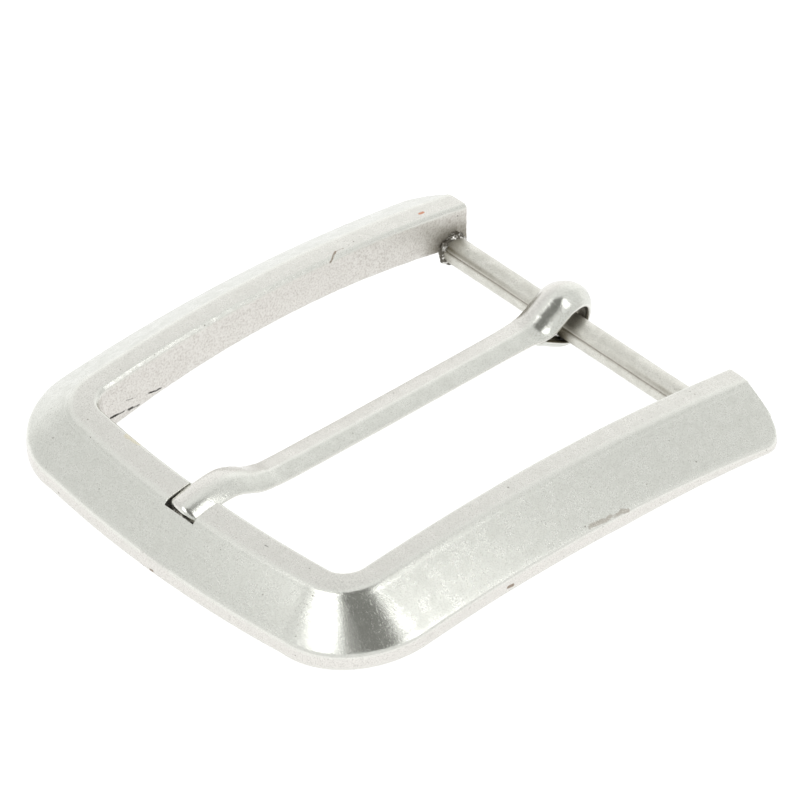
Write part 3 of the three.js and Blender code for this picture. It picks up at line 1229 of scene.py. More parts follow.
    def corners(self, station: Station) -> tuple[list[Vector], list[float]]:
        """The section's sharp corners at a station, and their fillets.

        Args:
            station: The place.

        Returns:
            The corners on the drawing, and the fillet of each.
        """
        heel = self.heel_end[station.side] - self.end_rounding
        inner = self.inner.point(station.stretch, station.side, station.share, heel)
        ridge = self.ridge.point(station.stretch, station.side, station.share, heel)
        outer, reach = self._outer_point(station, heel)
        outer_top = lerp(self.ridge_top, self.rim_top, reach) - self.crown_drop(outer.y)
        foot = lerp(self.sole(outer.y), self.rim_foot(outer.y), (1 + reach) / 2)
        inner_top = self.inner_top - self.crown_drop(inner.y)
        ridge_top = self.ridge_top - self.crown_drop(ridge.y)
        broken = self.edge_break / max((ridge - inner).length, TINY)
        slope = ridge.lerp(outer, self.slope_start)
        slope_top = lerp(ridge_top, outer_top, self.slope_start)
        raised = [
            (inner, self.sole(inner.y)),
            (inner, inner_top - self.edge_break),
            (inner.lerp(ridge, broken), inner_top),
            (ridge, ridge_top),
            (slope, slope_top),
            (outer, outer_top),
            (outer, foot),
        ]
        full = [Vector((p.x, p.y, z)) for p, z in raised]
        fillets = [facet.fillet for facet in self.section.facets]
        if station.notched:
            cut, cut_fillets = self._notched(full)
            full = [a.lerp(b, station.notched) for a, b in zip(full, cut)]
            fillets = [lerp(a, b, station.notched) for a, b in zip(fillets, cut_fillets)]
        return full, fillets

    def _outer_point(self, station: Station, heel: float) -> tuple[Vector, float]:
        """The outer line's point, turned in round the heel corner.

        Args:
            station: The place.
            heel: Y where the arm's straight part ends.

        Returns:
            The point, and its share of the slope's width from the ridge.
        """
        outer = self.outer.point(station.stretch, station.side, station.share, heel)
        if station.stretch is not Stretch.ARM:
            return outer, 1.0
        radius = self.heel_corner[station.side] - self.end_rounding * 0.5
        into = (outer.y - (heel - radius)) / radius
        if into <= 0:
            return outer, 1.0
        angle = into * math.pi / 2
        y = heel - radius + radius * math.sin(angle)
        full = self.outer.arm_half(y)
        x = full - radius * (1 - math.cos(angle))
        ridge = self.ridge.arm_half(y)
        return Vector((station.side.value * x, y, 0)), (x - ridge) / (full - ridge)

    def _floor(self, y: float) -> float:
        """Height of the notch's floor at y."""
        return self.notch_floor + self.notch_slope * (y - self.notch_floor_y)

    def _notched(self, full: list[Vector]) -> tuple[list[Vector], list[float]]:
        """The section cut down to the notch's floor and back wall.

        Args:
            full: The uncut section's corners.

        Returns:
            The cut section's corners, and their fillets.
        """
        foot, wall, break_top, ridge, slope, rim, rim_foot = full
        share = (self.notch_back - slope.y) / (rim.y - slope.y)
        bulge = self.section.facets[FrameEdge.SLOPE].bulge
        rise = lerp(slope.z, rim.z, share) + 4 * share * (1 - share) * bulge
        low_wall = Vector((wall.x, wall.y, self._floor(wall.y)))
        floor = Vector((break_top.x, break_top.y, self._floor(break_top.y)))
        back = Vector((ridge.x, self.notch_back, self._floor(self.notch_back)))
        lip = Vector((slope.x, self.notch_back, rise))
        cut = [foot, low_wall, floor, back, lip, rim, rim_foot]
        return cut, list(self.notch_fillets)

    def _bulges(self, station: Station, corners: list[Vector]) -> list[float]:
        """Each facet's bulge, with the slope's still meeting that beside the notch.

        Args:
            station: The place.
            corners: The corners at the station.

        Returns:
            The bulge of each facet at the station.
        """
        bulges = [facet.bulge for facet in self.section.facets]
        if not station.notched:
            return bulges
        lip, rim = corners[FrameEdge.SLOPE], corners[FrameEdge.RIM]
        whole = (self.ridge.front - rim.y) * (1 - self.slope_start)
        kept = min(1.0, (lip.y - rim.y) / whole)
        for edge in range(FrameEdge.SLOPE):
            bulges[edge] *= 1 - station.notched
        bulges[FrameEdge.SLOPE] *= kept**2
        return bulges

    def build(self, drawing: Drawing) -> bpy.types.Object:
        """Make the frame's mesh.

        Args:
            drawing: Where the drawing lies.

        Returns:
            The frame.
        """
        swept = SweptMesh("cast_buckle_frame", drawing)
        marks = self.section.marks()
        stations = self.stations()
        outline = [self.corners(station) for station in stations]
        feet = [corners[FrameEdge.RIM_FOOT] for corners, _ in outline]
        for k, station in enumerate(stations):
            before, after = max(k - 1, 0), min(k + 1, len(stations) - 1)
            along = Vector((0, 1, 0)) if station.inset else feet[after] - feet[before]
            corners, fillets = outline[k]
            ring = self.section.ring(corners, fillets, self._bulges(station, corners), along)
            if station.inset:
                ring = self._drawn_in(ring, station)
            swept.add(ring, self._marks_at(ring, marks, station))
        return swept.build(self._unevenness)

    def _unevenness(self, point: Vector, normal: Vector) -> float:
        """The casting's unevenness, rougher on the left arm's inner wall.

        Args:
            point: A drawing point of the surface.
            normal: The surface's normal there.

        Returns:
            The height to move the point by, in millimetres.
        """
        low, high = self.skin_band
        on_wall = max(0.0, normal.x) if low < point.x < high else 0.0
        rough = self.skin.at(point) * on_wall
        return self.swell.at(point) + self.dents.at(point) + rough - self.draw_in

    @staticmethod
    def _drawn_in(ring: Ring, station: Station) -> Ring:
        """A heel end's ring, drawn in and pushed out to round the end's edge.

        Args:
            ring: The ring before.
            station: The place.

        Returns:
            The ring's points after.
        """
        middle = sum(ring, Vector()) / len(ring)
        moved = []
        for i, point in enumerate(ring):
            run = ring[(i + 1) % len(ring)] - ring[i - 1]
            outward = Vector((run.z, 0, -run.x)).normalized()
            if outward.dot(point - middle) < 0:
                outward = -outward
            moved.append(point - outward * station.inset + Vector((0, station.push, 0)))
        return moved

    def _marks_at(self, ring: Ring, marks: Marks, station: Station) -> Marks:
        """The marks of wear and painted light and shade of a station's ring.

        Args:
            ring: The station's points.
            marks: The section's marks.
            station: The place.

        Returns:
            The marks, with shade painted round the heel bar's brazed ends and the lit warm tone painted
            inside the notch.
        """
        made = {wear_and_light: list(values) for wear_and_light, values in marks.items()}
        made[WearAndLight.PAINTED_SHADE] = []
        shine = math.sin(math.pi * station.share) if station.stretch is Stretch.CORNER else 0.0
        made[WearAndLight.SHINE] = [shine] * len(ring)
        raw = 0.5 if station.side is Side.RIGHT else 1.0
        uncut = 1 - station.notched
        for i, point in enumerate(ring):
            off = math.hypot(point.y - self.bar.y, point.z - self.bar.z)
            # Painted shade on the arms round the bar's ends.
            near = 0.75 * (1 - ease(off, *self.shade_reach)) ** 1.5
            inside = abs(point.x) < self.shade_half and station.stretch is Stretch.ARM
            made[WearAndLight.PAINTED_SHADE].append(near if inside else 0.0)
            made[WearAndLight.CAST][i] *= raw
            made[WearAndLight.EDGE][i] *= uncut
        for i in range(*self.section.span(FrameEdge.WALL, FrameEdge.SLOPE)):
            made[WearAndLight.CAST][i] *= uncut
            # Painted light: the notch's inside takes the full lit warm tone.
            made[WearAndLight.LIT_TONE][i] = lerp(made[WearAndLight.LIT_TONE][i], 1.0, station.notched)
        return made


@dataclass
class BrazeBead:
    """A lumpy bead of braze metal between the bar and an arm's wall.

    Attributes:
        side: The arm it stands at.
        bar: The heel bar.
        wall: X of the bead's side on the wall.
        reach: How far it runs along the bar.
        width: How far it stands up the wall.
        unevenness: How much fatter and thinner it gets round the bar.
        belly: How far its face swells out.
        overlap: How far it reaches under the bar's surface where it ends.
        root: How far below the bar's surface its hidden side lies.
        bury: How far its hidden side reaches into the wall.
        lump_height: How high its lumps stand.
        grit: Its grit.
        round_steps: Profiles round the bar.
        profile_steps: Points across its face.
    """

    side: Side
    bar: HeelBar
    wall: float = 20.1
    reach: float = 0.62
    width: float = 0.42
    unevenness: float = 0.45
    belly: float = 0.16
    overlap: float = 0.05
    root: float = 0.35
    bury: float = 0.2
    lump_height: float = 0.13
    grit: Ripple = Ripple(0.03, 4.0)
    round_steps: int = 110
    profile_steps: int = 12

    def build(self, drawing: Drawing) -> bpy.types.Object:
        """Make the bead's mesh.

        Args:
            drawing: Where the drawing lies.

        Returns:
            The bead.
        """
        name = "braze_bead_left" if self.side is Side.LEFT else "braze_bead_right"
        swept = SweptMesh(name, drawing)
        for k in range(self.round_steps):
            angle = 2 * math.pi * k / self.round_steps
            swept.add(self._profile(angle))
        lumps = Ripple(self.lump_height, 1.7, Vector((self.side.value * 4, 2, 8)))
        return swept.build(lambda point, normal: lumps.at(point) + self.grit.at(point), looped=True)

    def _profile(self, angle: float) -> Ring:
        """The bead's closed profile at an angle round the bar.

        Args:
            angle: The angle, in radians.

        Returns:
            The profile's points.
        """
        away = Vector((0, math.cos(angle), math.sin(angle)))
        seed = Vector((math.cos(angle) * 1.6, math.sin(angle) * 1.6, self.side.value * 3))
        fat = 1 + self.unevenness * noise.noise(seed)
        places = []
        for i in range(self.profile_steps + 1):
            s = i / self.profile_steps
            belly = math.sin(math.pi * s) * self.belly
            out = self.width * fat * (1 - s) ** 1.4 + belly
            forth = self.reach * fat * s**1.4 + belly
            places.append((self.wall - forth, self.bar.radius - self.overlap + out))
        root = self.bar.radius - self.root
        places += [(self.wall - self.reach * fat, root), (self.wall + self.bury, root)]
        middle = self.bar.centre()
        return [Vector((self.side.value * x, 0, 0)) + middle + away * off for x, off in places]


@dataclass(frozen=True)
class StripShape:
    """One form of the prong's section, with heights in millimetres.

    Attributes:
        foot: The flat underside's share of the half width.
        side: Height where the upright edge starts.
        eaves: Height where it ends.
        ridge: Height of the top's middle.
    """

    foot: float
    side: float
    eaves: float
    ridge: float

    def mixed(self, other: "StripShape", share: float) -> "StripShape":
        """A shape a share of the way to another.

        Args:
            other: The other shape.
            share: The share, from 0 to 1.

        Returns:
            The shape between.
        """
        return StripShape(
            foot=lerp(self.foot, other.foot, share),
            side=lerp(self.side, other.side, share),
            eaves=lerp(self.eaves, other.eaves, share),
            ridge=lerp(self.ridge, other.ridge, share),
        )


@dataclass
class Prong:
    """The formed prong: an open tail, an eye round the bar, a shank and a cranked tip.

    A band is where one shape goes over into another. Near the eye it is counted from
    the tail's end along the strip, and near the tip it is the distance in front of
    the drawing's origin.

    Attributes:
        bar: The heel bar that it swings on.
        eye_radius: Radius of the eye's hollow.
        eye_lift: How far the hollow's middle stands above the bar's axis.
        eye_half: Half width of the strip round the eye.
        tail: The underside's line at the tail's end, as y and z.
        tail_half: Half width of the tail.
        tail_thinning: The tail's thickness, against the shank's.
        rise: Slope of the strip where it leaves the eye.
        half: Half width of the shank.
        tip_half: Half width of the tip.
        tip_thinning: The tip's thickness, against the shank's.
        tip_dome: How rounded the tip's top is, from 0 to 1.
        roof: The shank's section.
        dome: The eye's section.
        roll_at_eye: How far the eye leans over.
        roll_at_tip: How far the tip leans over.
        roll_height: Height in the section that it leans about.
        belly: How far the eye's inside swells.
        nose: Length of the rounded end.
        tail_end: Length of the tail's worn end.
        worn_end: How much the nose's very end is drawn in, from 0 to 1.
        x_at_bar: X of the prong's middle at the bar.
        x_at_tip: X of its middle at the tip.
        tip_y: Y of the tip's end.
        shank: The underside's line along the shank, as y and z.
        shoulder: The same over the raised shoulder.
        tip: The same along the tip.
        eye_widens: Band from the tail to the eye's width.
        eye_narrows: Band from the eye's width to the shank's.
        tail_thickens: Band from the tail's thickness to the shank's.
        dome_ends: Band from the eye's section and lean to the shank's.
        tip_narrows: Band from the shank's width to the tip's.
        tip_thins: Band from the shank's thickness to the tip's.
        tip_leans: Band over which the tip's dome and lean come in.
        ridge_fillets: Rounding of the roof's ridge and of the dome's.
        wave: The prong's long unevenness.
        dents: Its small dents.
        draw_in: How far the surface is drawn in to stay in its own size.
        section: The roundings and facets of its section.
    """

    bar: HeelBar
    eye_radius: float = 2.3
    eye_lift: float = 0.5
    eye_half: float = 2.4
    tail: tuple[float, float] = (20.7, -0.8)
    tail_half: float = 1.35
    tail_thinning: float = 0.5
    rise: float = math.radians(33)
    half: float = 2.12
    tip_half: float = 2.03
    tip_thinning: float = 0.88
    tip_dome: float = 0.6
    roof: StripShape = StripShape(0.5, 0.95, 1.25, 1.6)
    dome: StripShape = StripShape(0.75, 0.45, 0.75, 2.02)
    roll_at_eye: float = math.radians(10)
    roll_at_tip: float = math.radians(12)
    roll_height: float = 0.8
    belly: float = 0.25
    nose: float = 0.75
    tail_end: float = 0.28
    worn_end: float = 0.93
    x_at_bar: float = -2.0
    x_at_tip: float = -0.35
    tip_y: float = -29.4
    shank: tuple[tuple[float, float], ...] = (
        (22.1, 0.7),
        (21.0, 0.12),
        (19.7, -0.3),
        (18.0, -0.52),
        (12, -0.6),
        (2, -0.7),
        (-8, -0.76),
        (-16.2, -0.74),
    )
    shoulder: tuple[tuple[float, float], ...] = (
        (-18.4, -0.45),
        (-20.1, 0.1),
        (-21.6, 0.88),
        (-22.9, 1.4),
        (-24.2, 1.55),
    )
    tip: tuple[tuple[float, float], ...] = ((-26.4, 1.32), (-28.5, 0.83), (-29.4, 0.55))
    eye_widens: Band = (7.0, 12.5)
    eye_narrows: Band = (14.0, 22.0)
    tail_thickens: Band = (6.0, 13.0)
    dome_ends: Band = (15.0, 19.0)
    tip_narrows: Band = (22.0, 26.0)
    tip_thins: Band = (18.0, 24.0)
    tip_leans: Band = (17.0, 22.0)
    ridge_fillets: Band = (0.28, 0.8)
    wave: Ripple = Ripple(0.015, 0.2, Vector((2, 9, 4)))
    dents: Ripple = Ripple(0.003, 0.9, Vector((8, 3, 1)))
    draw_in: float = 0.012
    # Painted light: the underside, the sides and the left roof facet take the lighter warm tone; the
    # right roof facet takes none.
    section: Section = Section(
        (
            Facet(0.2, 5, 0.0, warm_lit=0.9, cast=0.35),
            Facet(0.25, 4, 0.0, warm_lit=0.6, cast=0.2),
            Facet(0.14, 1, 0.0, warm_lit=0.5),
            Facet(0.16, 10, 0.03),
            Facet(0.5, 10, 0.03, warm_lit=0.7),
            Facet(0.16, 1, 0.0, warm_lit=0.5),
            Facet(0.14, 4, 0.0, warm_lit=0.6, cast=0.2),
        ),
        fillet_steps=5,
    )

    def path(self) -> list[Vector]:
        """The underside's line from the tail to the tip, as (y, z) points."""
        centre = Vector((self.bar.y, self.bar.z + self.eye_lift))
        tail = Vector(self.tail)
        to_tail = tail - centre
        contact = math.atan2(to_tail.y, to_tail.x) + math.acos(self.eye_radius / to_tail.length)
        leave = math.pi / 2 + self.rise
        while contact > leave:
            contact -= 2 * math.pi

        def around(angle: float) -> Vector:
            """The point of the eye's hollow at an angle."""
            return centre + self.eye_radius * Vector((math.cos(angle), math.sin(angle)))

        tail_steps, eye_steps = 30, 150
        points = [tail.lerp(around(contact), k / tail_steps) for k in range(tail_steps)]
        points += [around(lerp(contact, leave, k / eye_steps)) for k in range(eye_steps)]
        knots = [around(leave)] + [Vector(p) for p in (*self.shank, *self.shoulder, *self.tip)]
        for i in range(len(knots) - 1):
            points += self._curve(knots, i)
        points.append(knots[-1])
        return points

    @staticmethod
    def _curve(knots: list[Vector], i: int) -> list[Vector]:
        """Points of a smooth curve through the knots, from knot i to the next.

        Args:
            knots: The curve's knots.
            i: The knot that this stretch starts at.

        Returns:
            The points, without the next knot.
        """
        a, b = knots[max(i - 1, 0)], knots[i]
        c, d = knots[i + 1], knots[min(i + 2, len(knots) - 1)]
        steps = max(6, int((c - b).length / 0.05))
        bend = 2 * a - 5 * b + 4 * c - d
        twist = 3 * b - a - 3 * c + d
        shares = [k / steps for k in range(steps)]
        return [0.5 * (2 * b + (c - a) * s + bend * s**2 + twist * s**3) for s in shares]

    def build(self, drawing: Drawing) -> bpy.types.Object:
        """Make the prong's mesh.

        Args:
            drawing: Where the drawing lies.

        Returns:
            The prong.
        """
        line = self.path()
        run = [0.0]
        for a, b in zip(line, line[1:]):
            run.append(run[-1] + (b - a).length)
        length = run[-1]
        swept = SweptMesh("formed_prong", drawing)
        marks = self.section.marks()
        for s in self._places(length):
            point, tangent = self._at(line, run, s)
            ring = self._ring(point, tangent, s, length)
            swept.add(ring, self._marks_at(ring, marks, s, length))
        return swept.build(lambda p, normal: self.wave.at(p) + self.dents.at(p) - self.draw_in)

    def _places(self, length: float) -> list[float]:
        """Distances along the path of the prong's sections.

        Args:
            length: The path's whole length.

        Returns:
            The distances, from the tail's end.
        """
        tail = [0.0, 0.03, 0.08, 0.16, self.tail_end]
        long_steps, nose_steps = 330, 26
        middle = [lerp(0.4, length - self.nose, k / long_steps) for k in range(long_steps)]
        turns = [k / nose_steps * math.pi / 2 for k in range(nose_steps)]
        nose = [length - self.nose * (1 - math.sin(turn)) for turn in turns]
        return tail + middle + nose + [length - 0.004]

    @staticmethod
    def _at(line: list[Vector], run: list[float], s: float) -> tuple[Vector, Vector]:
        """The path's point and direction at a distance.

        Args:
            line: The path's points.
            run: The distance of each point.
            s: The distance.

        Returns:
            The point and the unit direction.
        """
        low, high = 0, len(run) - 2
        while low < high:
            middle = (low + high + 1) // 2
            low, high = (middle, high) if run[middle] <= s else (low, middle - 1)
        gap = max(run[low + 1] - run[low], TINY)
        point = line[low].lerp(line[low + 1], min(1.0, (s - run[low]) / gap))
        first, last = max(low - 3, 0), min(low + 4, len(line) - 1)
        return point, (line[last] - line[first]).normalized()

    def _ring(self, point: Vector, tangent: Vector, s: float, length: float) -> Ring:
        """The prong's section at a place on its path.

        Args:
            point: The path's point, as (y, z).
            tangent: The path's direction.
            s: The distance from the tail end.
            length: The path's whole length.

        Returns:
            The section's points on the drawing.
        """
        half, thick, soft = self._measures(point, s, length)
        shape = self.roof.mixed(self.dome, soft)
        outline = [
            (-shape.foot, 0),
            (shape.foot, 0),
            (1, shape.side),
            (1, shape.eaves),
            (0, shape.ridge),
            (-1, shape.eaves),
            (-1, shape.side),
        ]
        middle = thick * shape.ridge * 0.4
        squash = self._end_squash(s, length)
        at_tip = ease(-point.x, *self.tip_leans)
        at_eye = 1 - ease(s, *self.dome_ends)
        roll = -self.roll_at_tip * at_tip - self.roll_at_eye * at_eye
        ring = []
        for place in self._flat_ring(outline, shape, half, thick, soft, at_tip):
            off = place.y - self.roll_height
            aside = place.x * math.cos(roll) - off * math.sin(roll)
            up = self.roll_height + place.x * math.sin(roll) + off * math.cos(roll)
            height = middle + (up - middle) * squash
            y = point.x + tangent.y * height
            z = point.y - tangent.x * height
            ring.append(Vector((self._middle_x(y) + aside, y, z)))
        return ring

    def _middle_x(self, y: float) -> float:
        """X of the prong's middle at y, because it lies slightly askew."""
        skew = (self.x_at_tip - self.x_at_bar) / (self.tip_y - self.bar.y)
        return self.x_at_bar + skew * (y - self.bar.y)

    def _flat_ring(
        self,
        outline: Sequence[Band],
        shape: StripShape,
        half: float,
        thick: float,
        soft: float,
        at_tip: float,
    ) -> Ring:
        """The section's points in its own plane, with x across and y up.

        Args:
            outline: Its corners, in half widths across and millimetres up.
            shape: Its heights.
            half: Its half width.
            thick: Its share of the full thickness.
            soft: How rounded its top is, from 0 to 1.
            at_tip: 1 on the tip and 0 away from it.

        Returns:
            The section's points.
        """
        shrink = min(1.0, half)
        fillets = [facet.fillet * shrink for facet in self.section.facets]
        fillets[StripEdge.RIDGE] = lerp(*self.ridge_fillets, soft) * shrink
        bulges = [facet.bulge * (1 - soft) for facet in self.section.facets]
        bulges[StripEdge.BELLY] = self.belly * soft * (1 - at_tip)
        flat = [Vector((across * half, up * thick, 0)) for across, up in outline]
        places = self.section.ring(flat, fillets, bulges, Vector((0, 0, 1)))
        for i in range(*self.section.span(StripEdge.EAVES, StripEdge.FAR_EAVES)):
            across = places[i].x / half
            domed = lerp(shape.ridge, shape.eaves, across * across) * thick
            places[i].y = lerp(places[i].y, domed, soft * min(1.0, 6 * (1 - abs(across))))
        return places

    def _end_squash(self, s: float, length: float) -> float:
        """Share of the full thickness, drawn in at the tail's end and the nose.

        Args:
            s: The distance from the tail end.
            length: The path's whole length.

        Returns:
            The share, from 0 to 1.
        """
        at_tail = 0.8 + 0.2 * math.sqrt(min(1.0, s / self.tail_end))
        into = max(0.0, 1 - (length - s) / self.nose)
        return at_tail * math.sqrt(1 - into**2.2 * self.worn_end)

    def _measures(self, point: Vector, s: float, length: float) -> tuple[float, float, float]:
        """Half width, thickness and softness of the section.

        Args:
            point: The path's point.
            s: The distance from the tail end.
            length: The path's whole length.

        Returns:
            The half width in millimetres, the share of the full thickness, and how
            rounded the top is, from 0 to 1.
        """
        eye = lerp(self.tail_half, self.eye_half, ease(s, *self.eye_widens))
        half = lerp(eye, self.half, ease(s, *self.eye_narrows))
        half = lerp(half, self.tip_half, ease(-point.x, *self.tip_narrows))
        into = max(0.0, 1 - (length - s) / self.nose)
        half *= math.sqrt(1 - into**2 * self.worn_end)
        half *= 0.9 + 0.1 * math.sqrt(min(1.0, s / self.tail_end))
        thick = lerp(self.tail_thinning, 1.0, ease(s, *self.tail_thickens))
        thick *= lerp(1.0, self.tip_thinning, ease(-point.x, *self.tip_thins))
        at_tip = self.tip_dome * ease(-point.x, *self.tip_leans)
        return half, thick, max(1 - ease(s, *self.dome_ends), at_tip)

    def _marks_at(self, ring: Ring, marks: Marks, s: float, length: float) -> Marks:
        """The marks of wear and painted light and shade of one section.

        Args:
            ring: The section's points.
            marks: The section's own marks.
            s: The distance from the tail end.
            length: The path's whole length.

        Returns:
            The marks, smoother on the eye and the nose, with shade painted inside the eye.
        """
        made = {wear_and_light: list(values) for wear_and_light, values in marks.items()}
        polished = max(1 - ease(s, 16, 20), ease(s, length - 8, length - 4))
        made[WearAndLight.SHINE] = [polished] * len(ring)
        # Painted shade inside the eye, on its cast facets.
        inside = 0.75 * ease(s, 3, 5) * (1 - ease(s, 15, 18))
        made[WearAndLight.PAINTED_SHADE] = [inside * min(1.0, cast * 4) for cast in made[WearAndLight.CAST]]
        return made


@dataclass(frozen=True)
class BrazeFinish:
    """Dark, gritty braze metal with bright beads.

    Attributes:
        dark: The colour between the beads.
        bright: The colour of the beads.
        dull: The roughness between the beads.
        shiny: The roughness of the beads.
        relief: How deep the beads and grit stand, in millimetres.
    """

    dark: Colour = (0.13, 0.12, 0.1)
    bright: Colour = (0.8, 0.79, 0.75)
    dull: float = 0.6
    shiny: float = 0.25
    relief: float = 0.04

    def material(self, name: str) -> bpy.types.Material:
        """Make the finish under a name.

        Args:
            name: The material's name.

        Returns:
            The material.
        """
        w = Wiring(name)
        where = w.millimetres()
        beads = w.noise(where, 1.9, 3.0, 0.6)
        grit = w.noise(where, 7.0, 3.0, 0.7)
        share = w.span(beads, 0.47, 0.62, 0.0, 1.0)
        base = w.blend(share, self.dark, self.bright)
        base = w.blend(w.span(grit, 0.5, 0.7, 0.0, 0.5), base, self.dark)
        w.bump(w.math("ADD", beads, w.math("MULTIPLY", grit, 0.5)), self.relief)
        w.feed(w.shader.inputs["Base Color"], base)
        w.feed(w.shader.inputs["Roughness"], w.span(beads, 0.45, 0.65, self.dull, self.shiny))
        w.shader.inputs["Metallic"].default_value = 1.0
        return w.material


@dataclass
class Studio:
    """A pale floor under a white tent, with two soft boxes and a dark card between them.

    Attributes:
        azimuth: The camera's angle round the buckle, from the front, in degrees.
        elevation: The camera's angle above the floor, in degrees.
        distance: The camera's distance, in millimetres.
        lens: The camera's focal length.
        sensor: The camera's sensor width.
        target: The drawing point that it looks at.
        floor_size: The floor's side, in metres.
        floor_tones: The two tones that the floor varies between.
        floor_glow: The floor's own light.
        tent: The tent's brightness.
        tent_glow: How much brighter the tent is at its glow.
        glow_from: The direction of the glow.
        glow_band: How near to that direction the glow starts and is full.
        card_elevation: The card's angle above the floor, in degrees.
        card_half: Half the card's width and height, in metres.
        card_distance: The card's distance, in metres.
        card_tones: The two tones that the card varies between.
        box_distance: The soft boxes' distance, in metres.
        box_radiance: Their brightness.
        left_box: One box's turn from the card in degrees, its width and its height.
        right_box: The same of the other.
    """

    azimuth: float = 49.0
    elevation: float = 36.13
    distance: float = 945.26
    lens: float = 407.16
    sensor: float = 36.0
    target: Vector = Vector((-1.987, 1.576, 0))
    floor_size: float = 3.0
    floor_tones: tuple[Colour, Colour] = ((0.3, 0.3, 0.3), (0.32, 0.32, 0.32))
    floor_glow: float = 0.86
    tent: float = 0.96
    tent_glow: float = 0.27
    glow_from: Vector = Vector((-0.55, 0.75, -0.3))
    glow_band: Band = (0.1, 0.8)
    card_elevation: float = 64.0
    card_half: tuple[float, float] = (0.26, 0.27)
    card_distance: float = 0.7
    card_tones: tuple[Colour, Colour] = ((0.2, 0.2, 0.19), (0.24, 0.24, 0.23))
    box_distance: float = 0.8
    box_radiance: float = 2.1
    left_box: tuple[float, float, float] = (-35.0, 0.39, 0.42)
    right_box: tuple[float, float, float] = (30.5, 0.23, 0.42)

    def direction(self, azimuth: float, elevation: float) -> Vector:
        """The unit direction at an azimuth from the front and an elevation."""
        a, e = math.radians(azimuth), math.radians(elevation)
        return Vector((math.sin(a) * math.cos(e), -math.cos(a) * math.cos(e), math.sin(e)))

    def build(self, drawing: Drawing) -> None:
        """Make the floor, the lights, the world and the camera.

        Args:
            drawing: Where the drawing lies.
        """
        aim = drawing.place(self.target)
        self._floor()
        self._world()
        self._box("soft_box_right", aim, *self.right_box)
        self._box("soft_box_left", aim, *self.left_box)
        self._card(aim)
        self._camera(aim)

    def _floor(self) -> None:
        """A plain pale floor."""
        half = self.floor_size / 2
        mesh = bpy.data.meshes.new("studio_floor")
        corners = [(-half, -half, 0), (half, -half, 0), (half, half, 0), (-half, half, 0)]
        mesh.from_pydata(corners, [], [(0, 1, 2, 3)])
        floor = bpy.data.objects.new("studio_floor", mesh)
        bpy.context.scene.collection.objects.link(floor)
        w = Wiring("pale_floor")
        grain = w.noise(w.millimetres(), 0.05, 2.0)
        w.feed(w.shader.inputs["Base Color"], w.blend(grain, *self.floor_tones))
        w.shader.inputs["Roughness"].default_value = 0.9
        w.shader.inputs["Specular IOR Level"].default_value = 0.0
        w.shader.inputs["Emission Color"].default_value = (1, 1, 1, 1)
        w.shader.inputs["Emission Strength"].default_value = self.floor_glow
        mesh.materials.append(w.material)

    def _world(self) -> None:
        """The white tent, with a glow low at its back."""
        world = bpy.data.worlds.new("white_tent")
        world.use_nodes = True
        tree = world.node_tree
        back = tree.nodes["Background"]
        back.inputs["Color"].default_value = (1.0, 1.0, 0.995, 1.0)
        place = tree.nodes.new("ShaderNodeTexCoord")
        towards = tree.nodes.new("ShaderNodeVectorMath")
        towards.operation = "DOT_PRODUCT"
        towards.inputs[1].default_value = self.glow_from.normalized()
        glow = tree.nodes.new("ShaderNodeMapRange")
        glow.interpolation_type = "SMOOTHSTEP"
        full = self.tent + self.tent_glow
        for socket, value in zip(glow.inputs[1:5], (*self.glow_band, self.tent, full)):
            socket.default_value = value
        tree.links.new(place.outputs["Generated"], towards.inputs[0])
        tree.links.new(towards.outputs["Value"], glow.inputs["Value"])
        tree.links.new(glow.outputs["Result"], back.inputs["Strength"])
        bpy.context.scene.world = world

    def _over_camera(self, turn: float) -> Vector:
        """The direction to a place above the camera, turned aside by some degrees.

        Args:
            turn: The turn to the right, in degrees.

        Returns:
            The unit direction.
        """
        across = self.direction(self.azimuth + 90, 0)
        up = self.direction(self.azimuth, self.card_elevation)
        return up * math.cos(math.radians(turn)) + across * math.sin(math.radians(turn))

    def _box(self, name: str, aim: Vector, turn: float, wide: float, tall: float) -> None:
        """Add a soft box that faces the buckle.

        Args:
            name: Its name.
            aim: The point it faces, in metres.
            turn: How far it stands aside from the dark card, in degrees.
            wide: Its width, in metres.
            tall: Its height, in metres.
        """
        light = bpy.data.lights.new(name, "AREA")
        light.shape = "RECTANGLE"
        light.size, light.size_y = wide, tall
        light.energy = self.box_radiance * math.pi * light.size * light.size_y
        lamp = bpy.data.objects.new(name, light)
        bpy.context.scene.collection.objects.link(lamp)
        back = self._over_camera(turn)
        lamp.location = aim + back * self.box_distance
        lamp.rotation_mode = "QUATERNION"
        lamp.rotation_quaternion = (-back).to_track_quat("-Z", "Y")

    def _card(self, aim: Vector) -> None:
        """A dark card over the camera, seen only in the metal.

        Args:
            aim: The point that it faces, in metres.
        """
        back = self._over_camera(0)
        mesh = bpy.data.meshes.new("dark_card")
        across, tall = self.card_half
        corners = [(-across, -tall, 0), (across, -tall, 0), (across, tall, 0), (-across, tall, 0)]
        mesh.from_pydata(corners, [], [(0, 1, 2, 3)])
        card = bpy.data.objects.new("dark_card", mesh)
        bpy.context.scene.collection.objects.link(card)
        card.location = aim + back * self.card_distance
        card.rotation_mode = "QUATERNION"
        card.rotation_quaternion = back.to_track_quat("Z", "Y")
        w = Wiring("dark_card")
        mottle = w.noise(w.millimetres(), 0.02)
        w.feed(w.shader.inputs["Base Color"], w.blend(mottle, *self.card_tones))
        w.shader.inputs["Roughness"].default_value = 0.95
        mesh.materials.append(w.material)
        card.visible_camera = False
        card.visible_shadow = False
        card.visible_diffuse = False

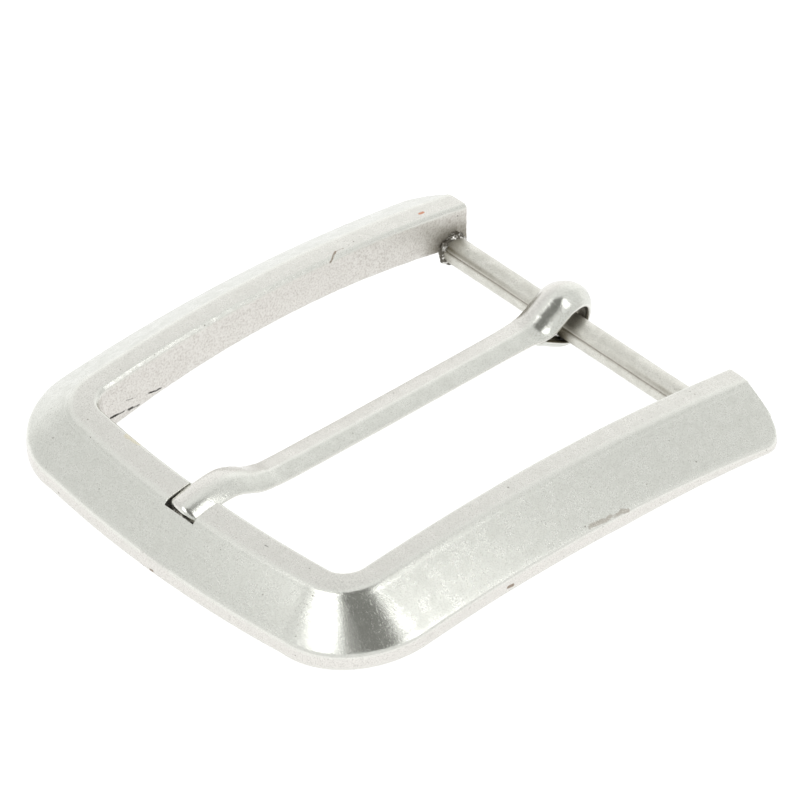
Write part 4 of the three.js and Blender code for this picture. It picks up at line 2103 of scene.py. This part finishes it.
    def _camera(self, aim: Vector) -> None:
        """The camera, looking down at the front right corner.

        Args:
            aim: The point that it looks at, in metres.
        """
        data = bpy.data.cameras.new("studio_camera")
        data.sensor_width = self.sensor
        data.lens = self.lens
        data.clip_start, data.clip_end = 0.01, 20.0
        camera = bpy.data.objects.new("studio_camera", data)
        bpy.context.scene.collection.objects.link(camera)
        back = self.direction(self.azimuth, self.elevation)
        camera.location = aim + back * self.distance * MM
        camera.rotation_mode = "QUATERNION"
        camera.rotation_quaternion = (-back).to_track_quat("-Z", "Y")
        bpy.context.scene.camera = camera


def dress(
    piece: bpy.types.Object, material: bpy.types.Material, body: str, node: str
) -> None:
    """Give a piece its finish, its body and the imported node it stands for.

    Args:
        piece: The piece.
        material: Its finish.
        body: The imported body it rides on.
        node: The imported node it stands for.
    """
    piece.data.materials.append(material)
    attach(piece, body)
    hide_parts(node)
    log.info("%s: %d faces, rides on %s", piece.name, len(piece.data.polygons), body)


def main() -> None:
    """Build the studio, then build and dress the buckle, logging each piece's face count."""
    logging.basicConfig(level=logging.INFO, format="%(name)s: %(message)s")
    bar = HeelBar()
    drawing = Drawing.from_bar("heel_bar", bar.centre())
    Studio().build(drawing)
    frame_metal = NickelFinish(blemishes=FRAME_BLEMISHES).material("cast_nickel", drawing)
    bar_metal = NickelFinish(
        tone=(0.71, 0.705, 0.65),
        shade=(0.62, 0.615, 0.56),
        roughness=0.3,
        scratch=0.2,
        pits=0.3,
    ).material("bar_nickel", drawing)
    prong_metal = NickelFinish(roughness=0.3, scratch=0.3).material("prong_nickel", drawing)
    braze_metal = BrazeFinish().material("braze_metal")
    dress(BuckleFrame(bar).build(drawing), frame_metal, "buckle_frame", "frame")
    dress(bar.build(drawing), bar_metal, "buckle_frame", "heel_bar")
    for side, node in ((Side.LEFT, "braze_left"), (Side.RIGHT, "braze_right")):
        bead = BrazeBead(side, bar).build(drawing)
        dress(bead, braze_metal, "buckle_frame", node)
    dress(Prong(bar).build(drawing), prong_metal, "prong", "prong")
    bpy.context.scene.view_settings.view_transform = "Standard"


if __name__ == "__main__":
    main()
